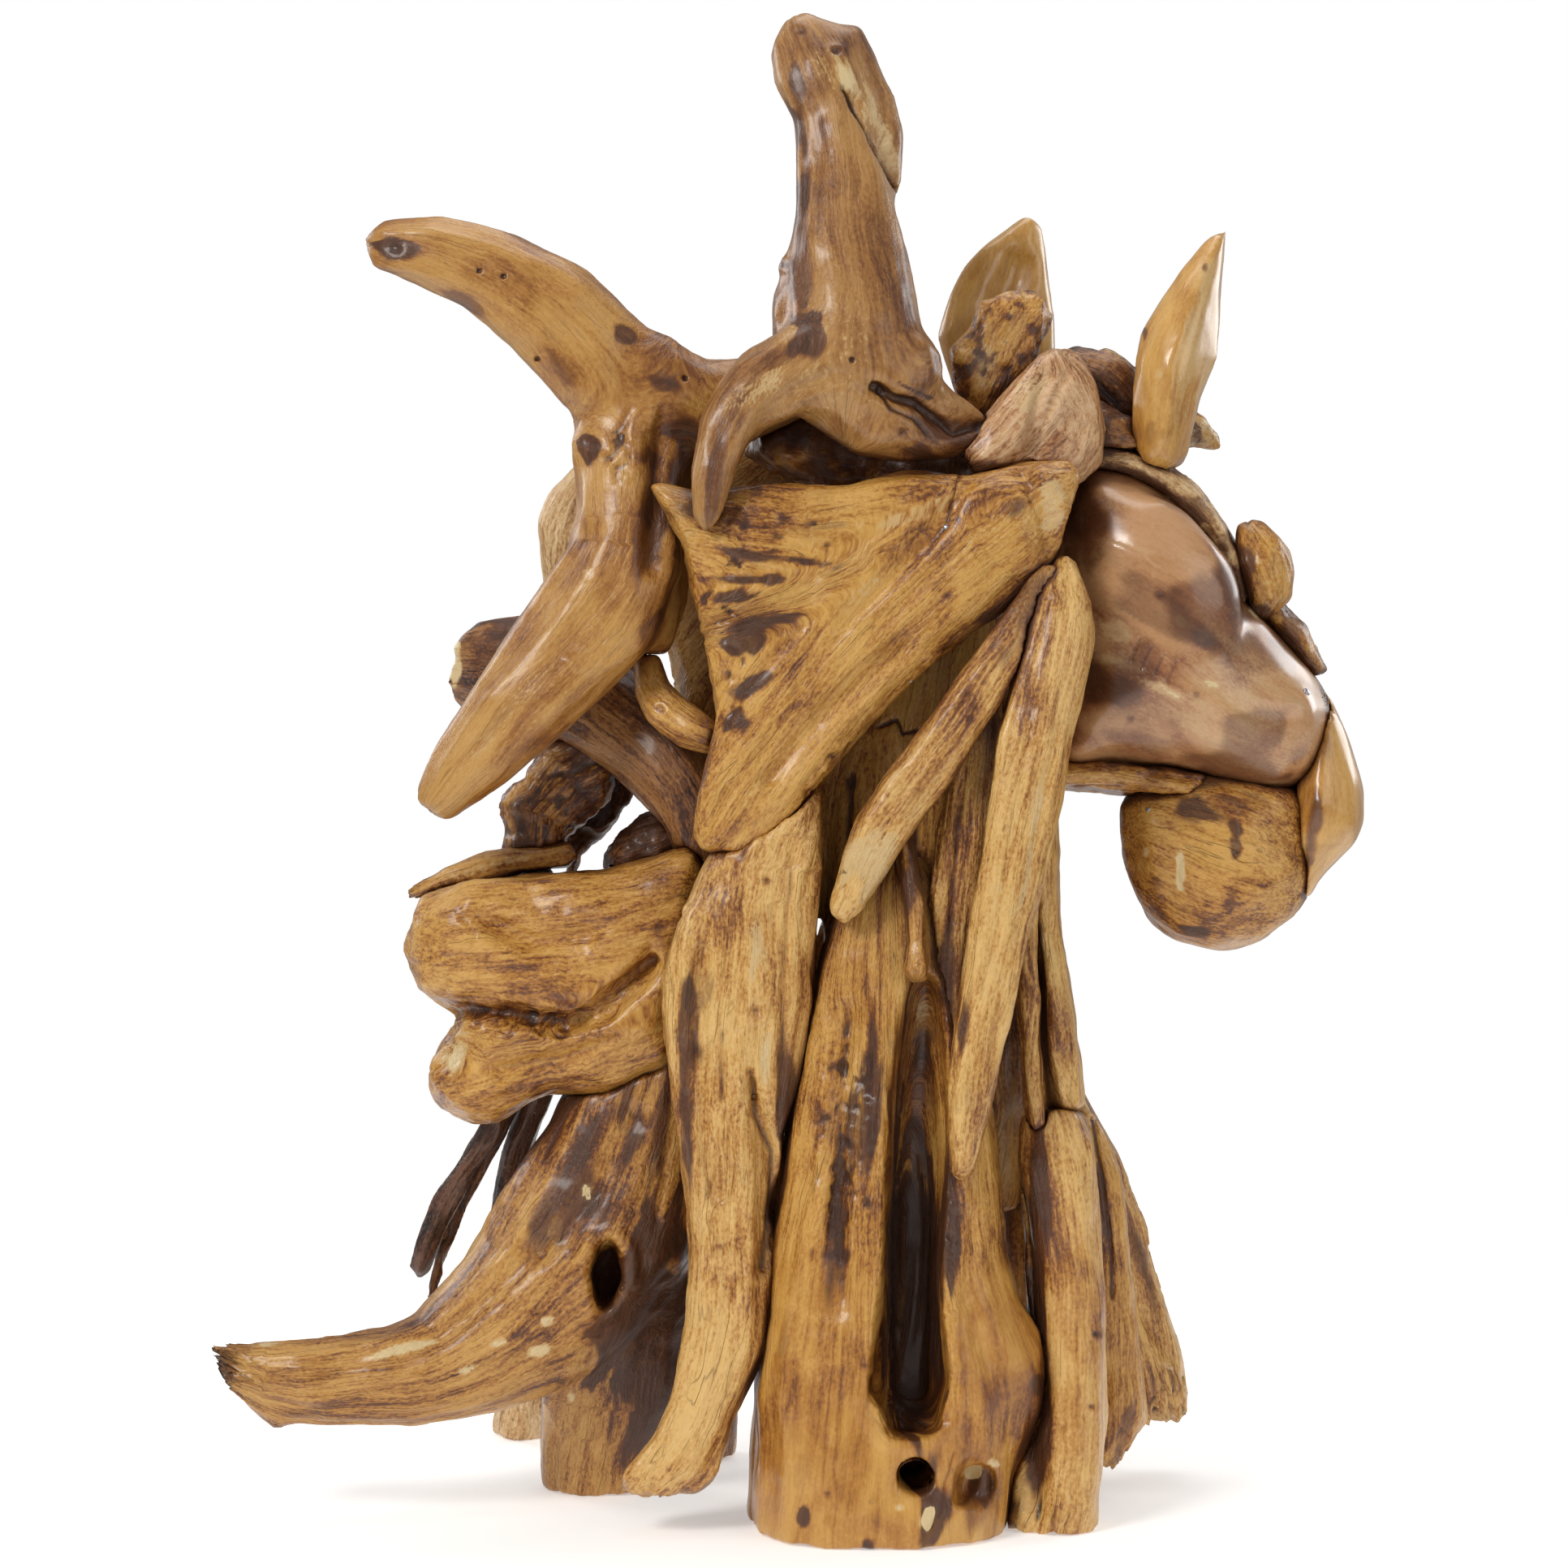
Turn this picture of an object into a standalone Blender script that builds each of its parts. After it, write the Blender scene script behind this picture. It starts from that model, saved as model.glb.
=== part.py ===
"""Horse head sculpture, looking to the right, built up from driftwood roots, planks and polished blocks.

Every root follows an elevation drawing ruled in squares. A place on it is a column from the left, a row
from the top, and a depth behind the middle plane, all in squares. The drawing shows the work as seen by
someone standing VIEW_DISTANCE away, so what stands further back is larger than it is drawn.
"""

import math

import bmesh
import bpy
from mathutils import Matrix, Vector, noise
from mathutils.bvhtree import BVHTree
from mathutils.geometry import intersect_point_line

# Size of the real work, in metres
HEIGHT = 1.40
JOINT_GAP = 0.0004
WIDEST_GAP = 0.002
LEAST_LEFT = 0.02
PEG_HOLE_RADIUS = 0.016
PEG_HOLE_DEPTH = 0.070
FLOOR_CUT_MARGIN = 0.30

# The elevation drawing, in squares
DRAWN_HEIGHT = 184.0
DRAWING_MIDDLE = 96.6
VIEW_DISTANCE = 490.0
EYE_HEIGHT = 109.0
EYE_ROW = 77.2
SQUARE = HEIGHT / DRAWN_HEIGHT

# How finely the wood is shaped before its faces are thinned, in squares
GRAIN_SIZE = 1.0
SMOOTH_PASSES = 5
SMOOTHING_LOSS = 0.3
SWELL = 0.45
SWELL_LENGTH = 9.0

RING_SIDES = 14
STEPS_PER_RING = 5
OUTLINE_STEPS = 4
SLAB_EDGE = 0.45

GOLDEN = (0.50, 0.27, 0.085)
HONEY = (0.56, 0.33, 0.12)
PALE = (0.62, 0.44, 0.24)
BROWN = (0.26, 0.12, 0.045)
DARK = (0.10, 0.045, 0.022)
POLISHED = (0.31, 0.14, 0.05)
AMBER = (0.50, 0.22, 0.05)


def new_collection(name):
    """A collection under the scene's own."""
    collection = bpy.data.collections.new(name)
    bpy.context.scene.collection.children.link(collection)
    return collection


def clear_scene():
    """Leaves the scene with no objects."""
    for obj in list(bpy.data.objects):
        bpy.data.objects.remove(obj)


clear_scene()
SCULPTURE = new_collection("driftwood_horse_head")
CUTTERS = new_collection("cutters")


def new_object(name, mesh, collection=CUTTERS):
    """An object for this mesh, at the origin."""
    obj = bpy.data.objects.new(name, mesh)
    collection.objects.link(obj)
    return obj


def apply_modifiers(obj):
    """Makes what the modifiers give the object's own mesh."""
    bpy.context.view_layer.update()
    graph = bpy.context.evaluated_depsgraph_get()
    mesh = bpy.data.meshes.new_from_object(obj.evaluated_get(graph))
    spent = obj.data
    obj.modifiers.clear()
    obj.data = mesh
    bpy.data.meshes.remove(spent)


def remove(obj):
    """Deletes an object with its mesh."""
    mesh = obj.data
    bpy.data.objects.remove(obj)
    bpy.data.meshes.remove(mesh)


def sketch(column, row, depth):
    """A place on the drawing as a point of the flat model, which is still in squares."""
    return Vector((column - DRAWING_MIDDLE, depth, DRAWING_MIDDLE - row))


def real_place(point):
    """The real place, in metres, of a point of the flat model, as the drawing's eye sees it."""
    tilt = math.atan((DRAWING_MIDDLE - EYE_ROW) / VIEW_DISTANCE)
    ray = Matrix.Rotation(-tilt, 3, "X") @ Vector((point.x, VIEW_DISTANCE, point.z))
    ray *= (VIEW_DISTANCE + point.y) / ray.y
    return (ray + Vector((0, -VIEW_DISTANCE, EYE_HEIGHT))) * SQUARE


def along(values, place):
    """The list's values at a place along it, on a smooth curve through them all."""
    last = len(values) - 1
    start = min(int(place), last - 1)
    t = place - start
    before, here, there, after = (
        values[min(max(start + step, 0), last)] for step in (-1, 0, 1, 2)
    )
    return [
        0.5 * (2 * b + (c - a) * t + (2 * a - 5 * b + 4 * c - d) * t**2 + (3 * b - a - 3 * c + d) * t**3)
        for a, b, c, d in zip(before, here, there, after)
    ]


def ring_corner(angle, squareness):
    """A corner of a ring of half width 1 and half height 1, rounder or squarer."""
    share = 2 / squareness
    across, deep = math.cos(angle), math.sin(angle)
    return (
        math.copysign(abs(across) ** share, across),
        math.copysign(abs(deep) ** share, deep),
    )


def limb(rings, squareness=2.3, ends=(0.8, 0.8)):
    """A root swept through rings of (column, row, depth, half width, half depth), with rounded ends."""
    steps = STEPS_PER_RING * (len(rings) - 1)
    stations = [along(rings, i / STEPS_PER_RING) for i in range(steps + 1)]
    centres = [sketch(*station[:3]) for station in stations]
    frames = []
    deep = Vector((0, 1, 0))
    for i, centre in enumerate(centres):
        tangent = (centres[min(i + 1, steps)] - centres[max(i - 1, 0)]).normalized()
        facing = Vector((0, 1, 0)) - tangent * tangent.y
        deep = facing.normalized() if facing.length > 0.3 else (deep - tangent * deep.dot(tangent)).normalized()
        frames.append((tangent, tangent.cross(deep), deep))
    sections = []
    for i, centre in enumerate(centres):
        sections.append((centre, frames[i], max(stations[i][3], 0.2), max(stations[i][4], 0.2)))
    for end, roundness, outwards in ((0, ends[0], -1), (steps, ends[1], 1)):
        centre, frame, half_width, half_depth = sections[0 if end == 0 else -1]
        reach = roundness * min(half_width, half_depth)
        caps = []
        for angle in (math.radians(35), math.radians(65)):
            moved = centre + frame[0] * (outwards * reach * math.sin(angle))
            caps.append((moved, frame, half_width * math.cos(angle), half_depth * math.cos(angle)))
        if reach > 0:
            sections = caps[::-1] + sections if end == 0 else sections + caps
    bm = bmesh.new()
    loops = []
    for centre, (_, wide, deep), half_width, half_depth in sections:
        loop = []
        for side in range(RING_SIDES):
            across, inwards = ring_corner(2 * math.pi * side / RING_SIDES, squareness)
            loop.append(bm.verts.new(centre + wide * (half_width * across) + deep * (half_depth * inwards)))
        loops.append(loop)
    for one, other in zip(loops, loops[1:]):
        for side in range(RING_SIDES):
            following = (side + 1) % RING_SIDES
            bm.faces.new((one[side], one[following], other[following], other[side]))
    bm.faces.new(loops[0][::-1])
    bm.faces.new(loops[-1])
    bmesh.ops.recalc_face_normals(bm, faces=bm.faces)
    mesh = bpy.data.meshes.new("limb")
    bm.to_mesh(mesh)
    bm.free()
    return new_object("limb", mesh)


def remesh(obj, size=GRAIN_SIZE):
    """Fuses what the object holds into one skin of even faces."""
    fuse = obj.modifiers.new("fuse", "REMESH")
    fuse.mode = "VOXEL"
    fuse.voxel_size = size
    apply_modifiers(obj)


def slab(outline, depth, half_depth, lean=(0, 0), crown=6.0, edge=SLAB_EDGE):
    """A plank or block cut to an outline of (column, row) corners, thicker in its middle than at its edge.

    Its middle plane goes back by lean squares for each square to the right and each square down.
    """
    corners = outline[-1:] + outline + outline[:2]
    rim = []
    for i in range(1, len(corners) - 2):
        for step in range(OUTLINE_STEPS):
            rim.append(along(corners, i + step / OUTLINE_STEPS))
    curve = bpy.data.curves.new("outline", "CURVE")
    curve.dimensions = "2D"
    curve.fill_mode = "BOTH"
    curve.extrude = half_depth
    spline = curve.splines.new("POLY")
    spline.points.add(len(rim) - 1)
    for point, (column, row) in zip(spline.points, rim):
        point.co = (column - DRAWING_MIDDLE, DRAWING_MIDDLE - row, 0, 1)
    spline.use_cyclic_u = True
    traced = new_object("outline", curve)
    bpy.context.view_layer.update()
    graph = bpy.context.evaluated_depsgraph_get()
    mesh = bpy.data.meshes.new_from_object(traced.evaluated_get(graph))
    bpy.data.objects.remove(traced)
    bpy.data.curves.remove(curve)
    bm = bmesh.new()
    bm.from_mesh(mesh)
    bmesh.ops.remove_doubles(bm, verts=bm.verts, dist=1e-4)
    for vert in bm.verts:
        vert.co = Vector((vert.co.x, vert.co.z, vert.co.y))
    bmesh.ops.recalc_face_normals(bm, faces=bm.faces)
    bm.to_mesh(mesh)
    bm.free()
    obj = new_object("slab", mesh)
    remesh(obj)
    line = [sketch(column, row, 0) for column, row in rim]
    middle = sum(line, Vector()) / len(line)
    for vert in obj.data.vertices:
        inside = min(1.0, distance_to(line + line[:1], Vector((vert.co.x, 0, vert.co.z))) / crown)
        share = edge + (1 - edge) * math.sqrt(1 - (1 - inside) ** 2)
        setback = lean[0] * (vert.co.x - middle.x) + lean[1] * (middle.z - vert.co.z)
        vert.co.y = vert.co.y * share + depth + setback
    return obj


def distance_to(line, point):
    """How far a point is from the nearest stretch of a line of points."""
    nearest = math.inf
    for start, end in zip(line, line[1:]):
        foot, share = intersect_point_line(point, start, end)
        foot = start if share < 0 else end if share > 1 else foot
        nearest = min(nearest, (point - foot).length)
    return nearest


def join(objects):
    """One object that holds the meshes of several."""
    bm = bmesh.new()
    for obj in objects:
        bm.from_mesh(obj.data)
        remove(obj)
    mesh = bpy.data.meshes.new("joined")
    bm.to_mesh(mesh)
    bm.free()
    return new_object("joined", mesh)


def triangulate(obj):
    """Makes every face of the object a triangle."""
    bm = bmesh.new()
    bm.from_mesh(obj.data)
    bmesh.ops.triangulate(bm, faces=bm.faces)
    bm.to_mesh(obj.data)
    bm.free()


def cut(obj, cutter):
    """Takes the cutter's shape out of the object."""
    knife = obj.modifiers.new("cut", "BOOLEAN")
    knife.operation = "DIFFERENCE"
    knife.object = cutter
    apply_modifiers(obj)
    triangulate(obj)


def islands(bm):
    """The separate shells of a mesh, each as its faces."""
    waiting = set(bm.faces)
    found = []
    while waiting:
        shell, edge_of_search = set(), [waiting.pop()]
        while edge_of_search:
            face = edge_of_search.pop()
            shell.add(face)
            for edge in face.edges:
                for other in edge.link_faces:
                    if other in waiting:
                        waiting.remove(other)
                        edge_of_search.append(other)
        found.append(shell)
    return found


def shell_volume(shell):
    """The volume inside a closed shell of faces."""
    total = 0.0
    for face in shell:
        corners = [loop.vert.co for loop in face.loops]
        for second, third in zip(corners[1:], corners[2:]):
            total += corners[0].dot(second.cross(third)) / 6
    return total


def keep_largest(obj):
    """Drops the offcuts that a cut has left loose."""
    bm = bmesh.new()
    bm.from_mesh(obj.data)
    shells = sorted(islands(bm), key=shell_volume)
    for shell in shells[:-1]:
        bmesh.ops.delete(bm, geom=list(shell), context="FACES")
    bmesh.ops.delete(bm, geom=[v for v in bm.verts if not v.link_faces], context="VERTS")
    bm.to_mesh(obj.data)
    bm.free()


def press_groove(obj, path, width, depth):
    """Presses a groove into the front of the piece along a path of (column, row) places."""
    line = [sketch(column, row, 0) for column, row in path]
    for vert in obj.data.vertices:
        if vert.normal.y > -0.15:
            continue
        reach = distance_to(line, Vector((vert.co.x, 0, vert.co.z))) / width
        if reach < 1:
            vert.co.y += depth * (1 - reach * reach)


def swell(obj, seed):
    """Gives the wood the low, uneven swells of a weathered root, and back what smoothing took off."""
    start = Vector((seed * 13.7, seed * 7.1, seed * 3.3))
    moved = []
    for vert in obj.data.vertices:
        amount = noise.fractal(vert.co / SWELL_LENGTH + start, 1.0, 2.0, 3)
        moved.append(vert.co + vert.normal * (SMOOTHING_LOSS + SWELL * amount))
    for vert, place in zip(obj.data.vertices, moved):
        vert.co = place


def thin_out(obj, faces):
    """Brings the skin down to about this many triangles where it is flattest."""
    triangulate(obj)
    thin = obj.modifiers.new("thin", "DECIMATE")
    thin.ratio = min(1.0, faces / len(obj.data.polygons))
    apply_modifiers(obj)


def stained(name, colour, roughness):
    """A varnished wood of this colour."""
    material = bpy.data.materials.new(name)
    material.use_nodes = True
    shader = material.node_tree.nodes["Principled BSDF"]
    shader.inputs["Base Color"].default_value = (*colour, 1)
    shader.inputs["Roughness"].default_value = roughness
    shader.inputs["Metallic"].default_value = 0
    return material


def surface_tree(obj):
    """The object's faces, ready for a search."""
    bm = bmesh.new()
    bm.from_mesh(obj.data)
    tree = BVHTree.FromBMesh(bm)
    bm.free()
    return tree


def box_of(obj):
    """The lowest and highest corner of the object's mesh."""
    points = [vert.co for vert in obj.data.vertices]
    low = Vector([min(p[axis] for p in points) for axis in range(3)])
    high = Vector([max(p[axis] for p in points) for axis in range(3)])
    return low, high


PIECES = []


def pattern_of(piece, gap):
    """The piece's shape with its skin moved out by the gap, to cut another piece to."""
    bm = bmesh.new()
    bm.from_mesh(piece.data)
    bm.normal_update()
    moved = [vert.co + vert.normal * (gap * min(vert.calc_shell_factor(), 3)) for vert in bm.verts]
    for vert, place in zip(bm.verts, moved):
        vert.co = place
    mesh = bpy.data.meshes.new("pattern")
    bm.to_mesh(mesh)
    bm.free()
    return new_object("pattern", mesh)


def volume_of(obj):
    """The volume inside the object's skin."""
    bm = bmesh.new()
    bm.from_mesh(obj.data)
    volume = shell_volume(bm.faces)
    bm.free()
    return volume


def scribe(obj):
    """Cuts the piece to fit against each piece set before it, with the joint gap between them.

    A cut that swallows most of the piece has gone wrong. It is undone and made again with a wider gap.
    """
    for neighbour in PIECES:
        gap = JOINT_GAP
        while gap < WIDEST_GAP and surface_tree(obj).overlap(surface_tree(neighbour)):
            uncut = obj.data.copy()
            volume = volume_of(obj)
            pattern = pattern_of(neighbour, gap)
            cut(obj, pattern)
            remove(pattern)
            keep_largest(obj)
            if volume_of(obj) < LEAST_LEFT * volume:
                obj.data = uncut
            gap *= 1.5


def floor_block():
    """What lies under the floor's plane, to cut the feet flat."""
    bm = bmesh.new()
    bmesh.ops.create_cube(bm, size=1)
    span = HEIGHT + FLOOR_CUT_MARGIN
    for vert in bm.verts:
        vert.co = Vector((vert.co.x * 2 * span, vert.co.y * 2 * span, (vert.co.z - 0.5) * FLOOR_CUT_MARGIN))
    mesh = bpy.data.meshes.new("floor_block")
    bm.to_mesh(mesh)
    bm.free()
    return new_object("floor_block", mesh)


def set_piece(name, colour, roughness, faces, shapes, grooves=(), carve=()):
    """Shapes one piece of wood, fits it to those set before it, and adds it to the sculpture.

    Grooves are (path, width, depth) on its front, and carve holds the shapes cut out of it.
    """
    obj = join(shapes)
    remesh(obj)
    soften = obj.modifiers.new("soften", "SMOOTH")
    soften.factor = 0.5
    soften.iterations = SMOOTH_PASSES
    apply_modifiers(obj)
    swell(obj, len(PIECES))
    for path, width, depth in grooves:
        press_groove(obj, path, width, depth)
    for cutter in carve:
        cut(obj, cutter)
        remove(cutter)
    keep_largest(obj)
    for vert in obj.data.vertices:
        vert.co = real_place(vert.co)
    thin_out(obj, faces)
    if box_of(obj)[0].z < 0:
        floor = floor_block()
        cut(obj, floor)
        remove(floor)
        keep_largest(obj)
    scribe(obj)
    obj.name = name
    obj.data.name = name
    obj.data.materials.clear()
    obj.data.materials.append(stained(name, colour, roughness))
    obj.data.shade_smooth()
    obj.data.set_sharp_from_angle(angle=math.radians(35))
    CUTTERS.objects.unlink(obj)
    SCULPTURE.objects.link(obj)
    PIECES.append(obj)
    return obj


# Crest root: the tall horn over the poll, its hook over the mane and its foot beside the ears
set_piece(
    "crest_root", GOLDEN, 0.35, 370,
    [
        limb([(98.8, 4.6, -4, 3.8, 3.8), (100.4, 8.2, -5, 5.2, 4.6), (102.4, 14, -6, 4.6, 4.8),
              (103.7, 22, -8, 5.6, 5.0), (104.3, 31, -10, 7.2, 5.8), (105.4, 39, -12, 7.8, 6.6),
              (105.0, 46, -13, 10.0, 7.5)]),
        limb([(104.0, 5.0, -3, 2.6, 3.0), (107.2, 12, -4, 2.6, 2.4), (109.6, 18, -5, 1.7, 1.8),
              (111.0, 24.4, -6, 0.6, 0.9)]),
        limb([(112, 45.5, -13, 5.0, 6.0), (104, 45.6, -14, 6.0, 6.0), (97, 46.2, -16, 5.0, 5.0),
              (91.2, 50.3, -18, 3.9, 3.8), (88.4, 56.2, -20, 2.9, 3.0), (87.2, 61.5, -21, 2.2, 2.3),
              (87.2, 64.6, -21, 1.5, 1.6)]),
        limb([(103, 47, -12, 6.2, 6.5), (109.5, 50, -12, 6.8, 6.5), (115, 52.3, -11, 4.8, 5.0),
              (120.6, 52.6, -10, 1.9, 3.0)]),
        limb([(99.0, 32.8, -10, 1.2, 1.6), (95.6, 32.4, -10, 0.8, 0.9)], ends=(0, 0.8)),
        limb([(99.4, 33.6, -8, 2.2, 4.0), (98.2, 38, -8, 2.8, 5.0), (99.0, 43.0, -8, 3.4, 5.0)]),
    ],
    grooves=[
        ([(104.4, 11), (106.2, 15), (108.4, 19), (110.6, 24)], 0.9, 1.8),
        ([(106.4, 47.6), (110.4, 49.0), (113.4, 50.4), (116.4, 53.0), (120.4, 51.8)], 1.3, 2.0),
        ([(94.6, 50.6), (99.0, 47.4), (104.0, 46.0), (108.4, 46.6)], 1.2, 0.9),
    ],
)

# Left crown root: an arm to the upper left, a limb down to the left and a stump behind the crest root
set_piece(
    "left_crown_root", GOLDEN, 0.32, 350,
    [
        limb([(47.6, 30.4, -10, 3.2, 3.0), (53, 31.0, -10, 4.2, 3.8), (60.4, 33.6, -9, 5.4, 4.8),
              (68.0, 38.7, -8, 6.4, 5.6), (75.2, 46.2, -6, 6.9, 6.4), (83, 50.5, -5, 7.0, 6.4),
              (91, 49.6, -4, 5.0, 5.4), (98, 47.4, -3, 3.8, 4.4)]),
        limb([(80, 46.6, -5, 7.0, 6.5), (78.2, 54, -6, 7.0, 7.0), (77.4, 62, -8, 6.2, 6.6),
              (76.5, 70.4, -10, 7.2, 6.0), (71.1, 78.8, -11, 7.4, 5.4), (64, 86.5, -12, 6.2, 5.0),
              (58.3, 93.4, -12, 4.9, 4.4), (54.2, 98.4, -12, 3.2, 3.2)]),
        limb([(83.4, 50, -4, 5.0, 5.0), (82.6, 60, -3, 3.2, 4.4), (82.4, 70, -3, 2.6, 4.0),
              (80.0, 78, -6, 3.4, 4.0)]),
        limb([(74.5, 53.6, -8, 2.2, 2.6), (71.2, 54.9, -10, 1.0, 1.2)]),
    ],
    grooves=[
        ([(81.4, 54), (80.8, 62), (80.0, 70)], 2.0, 1.2),
        ([(72.5, 66), (67.0, 75), (60.6, 84)], 2.0, 0.9),
    ],
)

# Cheek slab: the broad plank that lies over the side of the neck and mane
set_piece(
    "cheek_slab", HONEY, 0.36, 250,
    [
        slab(
            [(79.6, 59.2), (85.6, 60.8), (96, 60.2), (104, 60.4), (112, 58.0), (119.5, 58.6), (128, 56.8),
             (132.8, 58.0), (131.6, 63.5), (129.4, 69), (123.2, 75.4), (116.0, 80.4), (108.5, 87.2),
             (102, 95.0), (95, 102.4), (88.2, 105.4), (85.8, 103.2), (86.2, 96), (88.4, 88.4), (87.4, 79.6),
             (85, 70), (82.6, 63.6)],
            depth=-14.5, half_depth=4.2, lean=(0.06, 0.02), crown=7,
        ),
    ],
    grooves=[
        ([(119.0, 59), (116.6, 63.6), (111, 69.6), (104, 77)], 1.8, 1.0),
        ([(125.6, 58), (128.4, 62.6), (128.8, 68)], 1.8, 1.0),
        ([(112, 79.6), (102, 87.4), (94.6, 96.4)], 2.2, 1.2),
    ],
)

# Long strap: the front strip of the bridle side, from the head down over the trunk
set_piece(
    "long_strap", HONEY, 0.42, 140,
    [
        limb([(131.2, 69.2, -14, 1.6, 1.6), (131.0, 76, -16, 4.2, 2.8), (128.2, 88, -18, 4.6, 3.2),
              (126.0, 100, -19, 4.2, 3.2), (123.8, 112, -19, 3.8, 3.0), (121.4, 124, -20, 3.3, 2.8),
              (119.6, 134, -21, 2.6, 2.6), (118.5, 144.4, -21, 1.7, 1.8)], squareness=3),
    ],
)

# Cross strap: the strip that leaves the head and crosses the neck to the left
set_piece(
    "cross_strap", HONEY, 0.42, 110,
    [
        limb([(129.2, 70.2, -15, 1.8, 1.6), (126.0, 77.4, -17, 2.9, 2.2), (120.6, 85.6, -18, 3.2, 2.4),
              (114.6, 94.4, -18, 3.4, 2.4), (108.4, 103, -18, 3.4, 2.4), (103.8, 112.4, -18, 2.0, 1.8)],
             squareness=3),
    ],
)

# Mane slab: the flowing root that falls from the cheek slab to the foot on the left
set_piece(
    "mane_slab", HONEY, 0.36, 260,
    [
        slab(
            [(100.6, 95.4), (94.6, 100.4), (88.4, 104.4), (85.4, 110), (82.4, 117.6), (82.0, 127),
             (83.0, 136), (84.8, 146), (85.2, 157), (84.0, 168), (81.0, 177.0), (76.8, 182.4), (79.8, 184.2),
             (86, 183.8), (88.4, 181.2), (90.0, 175.6), (93.4, 167), (94.6, 160), (94.9, 150),
             (96.0, 141.6), (98.4, 131), (100.2, 120), (101.2, 108)],
            depth=-14, half_depth=4.6, lean=(0.04, -0.02), crown=6,
        ),
    ],
    grooves=[
        ([(92.4, 134), (94.4, 139), (94.6, 147), (93.8, 156)], 1.7, 2.0),
        ([(87.0, 118), (86.0, 128), (87.2, 138), (88.8, 148)], 2.2, 1.1),
    ],
)

# Hollow trunk: the stump at the front that carries the neck, open in a tall slot
TRUNK_FRONT = -21.5
set_piece(
    "hollow_trunk", GOLDEN, 0.34, 450,
    [
        limb([(109.5, 108, -10, 5.6, 4.5), (109.6, 118, -10.5, 8.4, 6.0), (109.5, 130, -11, 11.4, 7.2),
              (109.6, 143, -11, 13.3, 8.6), (109.3, 156, -10.5, 14.8, 10.8), (109.6, 168, -9.5, 16.6, 13.0),
              (109.0, 180, -8.7, 16.4, 14.8), (107.8, 197, -8.6, 15.2, 16.4)], squareness=2.9, ends=(0.8, 0)),
        limb([(119.2, 152, -11, 4.2, 7.0), (120.6, 161, -11, 4.8, 7.0), (123.4, 168.4, -11, 5.4, 7.0),
              (121.2, 179, -11, 5.0, 7.0)]),
    ],
    grooves=[
        ([(104.6, 124), (103.6, 136), (103.2, 150), (104.0, 162)], 2.2, 1.2),
        ([(119.4, 150), (119.6, 160), (121.6, 170)], 2.0, 0.9),
    ],
    carve=[
        limb([(113.6, 120.8, -22, 2.0, 9.0), (113.5, 127, -22, 3.1, 10.5), (112.9, 142, -22, 4.0, 12.0),
              (112.3, 152, -22, 3.6, 13.5), (112.2, 162, -23, 4.0, 14.5), (112.0, 170, -23, 5.0, 14.5),
              (112.2, 174.4, -23, 4.0, 13.0)],
             squareness=2.6),
        limb([(118.2, 185.0, -25, 1.9, 5.0), (119.6, 182.2, -25, 2.3, 6.0), (120.6, 179.4, -25, 1.8, 5.0)]),
    ],
)

# Polished head block: cheek, brow and snout in one polished piece
set_piece(
    "head_block", POLISHED, 0.14, 280,
    [
        slab(
            [(131.0, 60), (134, 57), (139.6, 58), (145.4, 62), (149.8, 67), (153.4, 74), (158.2, 79.2),
             (161.6, 83.4), (163.6, 87.2), (163.2, 92), (160.8, 96.2), (156.6, 97.6), (150.6, 96.2),
             (144, 94.4), (137, 94.4), (130.6, 94.6), (129.8, 84), (129.8, 72)],
            depth=4, half_depth=15, lean=(0.05, 0), crown=15, edge=0.25,
        ),
        limb([(140, 66, -6, 6, 5), (146, 74, -7, 7, 5), (143, 84, -5, 6, 5)]),
        limb([(150, 88, -2, 6, 8), (158, 88.6, 0, 6, 8)]),
    ],
)

# Chin block: the rounded lower lip and chin
set_piece(
    "chin_block", GOLDEN, 0.24, 130,
    [
        slab(
            [(138.7, 98.2), (144, 95.6), (152, 94.6), (158.6, 95.8), (161.0, 99), (161.6, 105),
             (160.8, 110.4), (156.8, 114.6), (151.4, 116.6), (146.0, 116.2), (141.8, 112.4),
             (139.0, 107.4), (138.2, 102)],
            depth=5, half_depth=11, crown=10, edge=0.4,
        ),
    ],
)

# Nose block: the smooth end of the muzzle
set_piece(
    "nose_block", AMBER, 0.18, 80,
    [
        slab(
            [(162.0, 83.4), (165.0, 89), (166.8, 94), (167.8, 100.2), (166.6, 103.8), (163.2, 107.4),
             (160.4, 111.2), (159.4, 106), (158.4, 98), (160.4, 91)],
            depth=6, half_depth=11, crown=8, edge=0.4,
        ),
    ],
)

# Jaw strip: the pale strip under the cheek, from the neck to the chin
set_piece(
    "jaw_strip", PALE, 0.4, 70,
    [
        limb([(129, 95.4, 2, 1.6, 7), (136, 95.4, 2, 1.6, 8), (142, 96.2, 3, 2.0, 8), (148.4, 97.4, 3, 2.2, 7)],
             squareness=3),
    ],
)

# Brow strip: the board along the forehead, which the ears and forelock stand on
set_piece(
    "brow_strip", PALE, 0.45, 80,
    [
        limb([(132.6, 55.6, 4, 1.6, 8), (138.8, 56.8, 4, 1.5, 9), (145.6, 60.6, 4, 1.6, 9),
              (150.2, 66.4, 4, 1.4, 8), (153.2, 73.6, 4, 1.1, 6)], squareness=3),
    ],
)

# Nose strip: the lower board along the bridge of the nose
set_piece(
    "nose_strip", HONEY, 0.45, 56,
    [
        limb([(155.8, 74.4, 5, 1.2, 5), (159.4, 78.2, 5, 1.3, 5), (162.8, 82.8, 5, 0.9, 3.6)], squareness=3),
    ],
)

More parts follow.
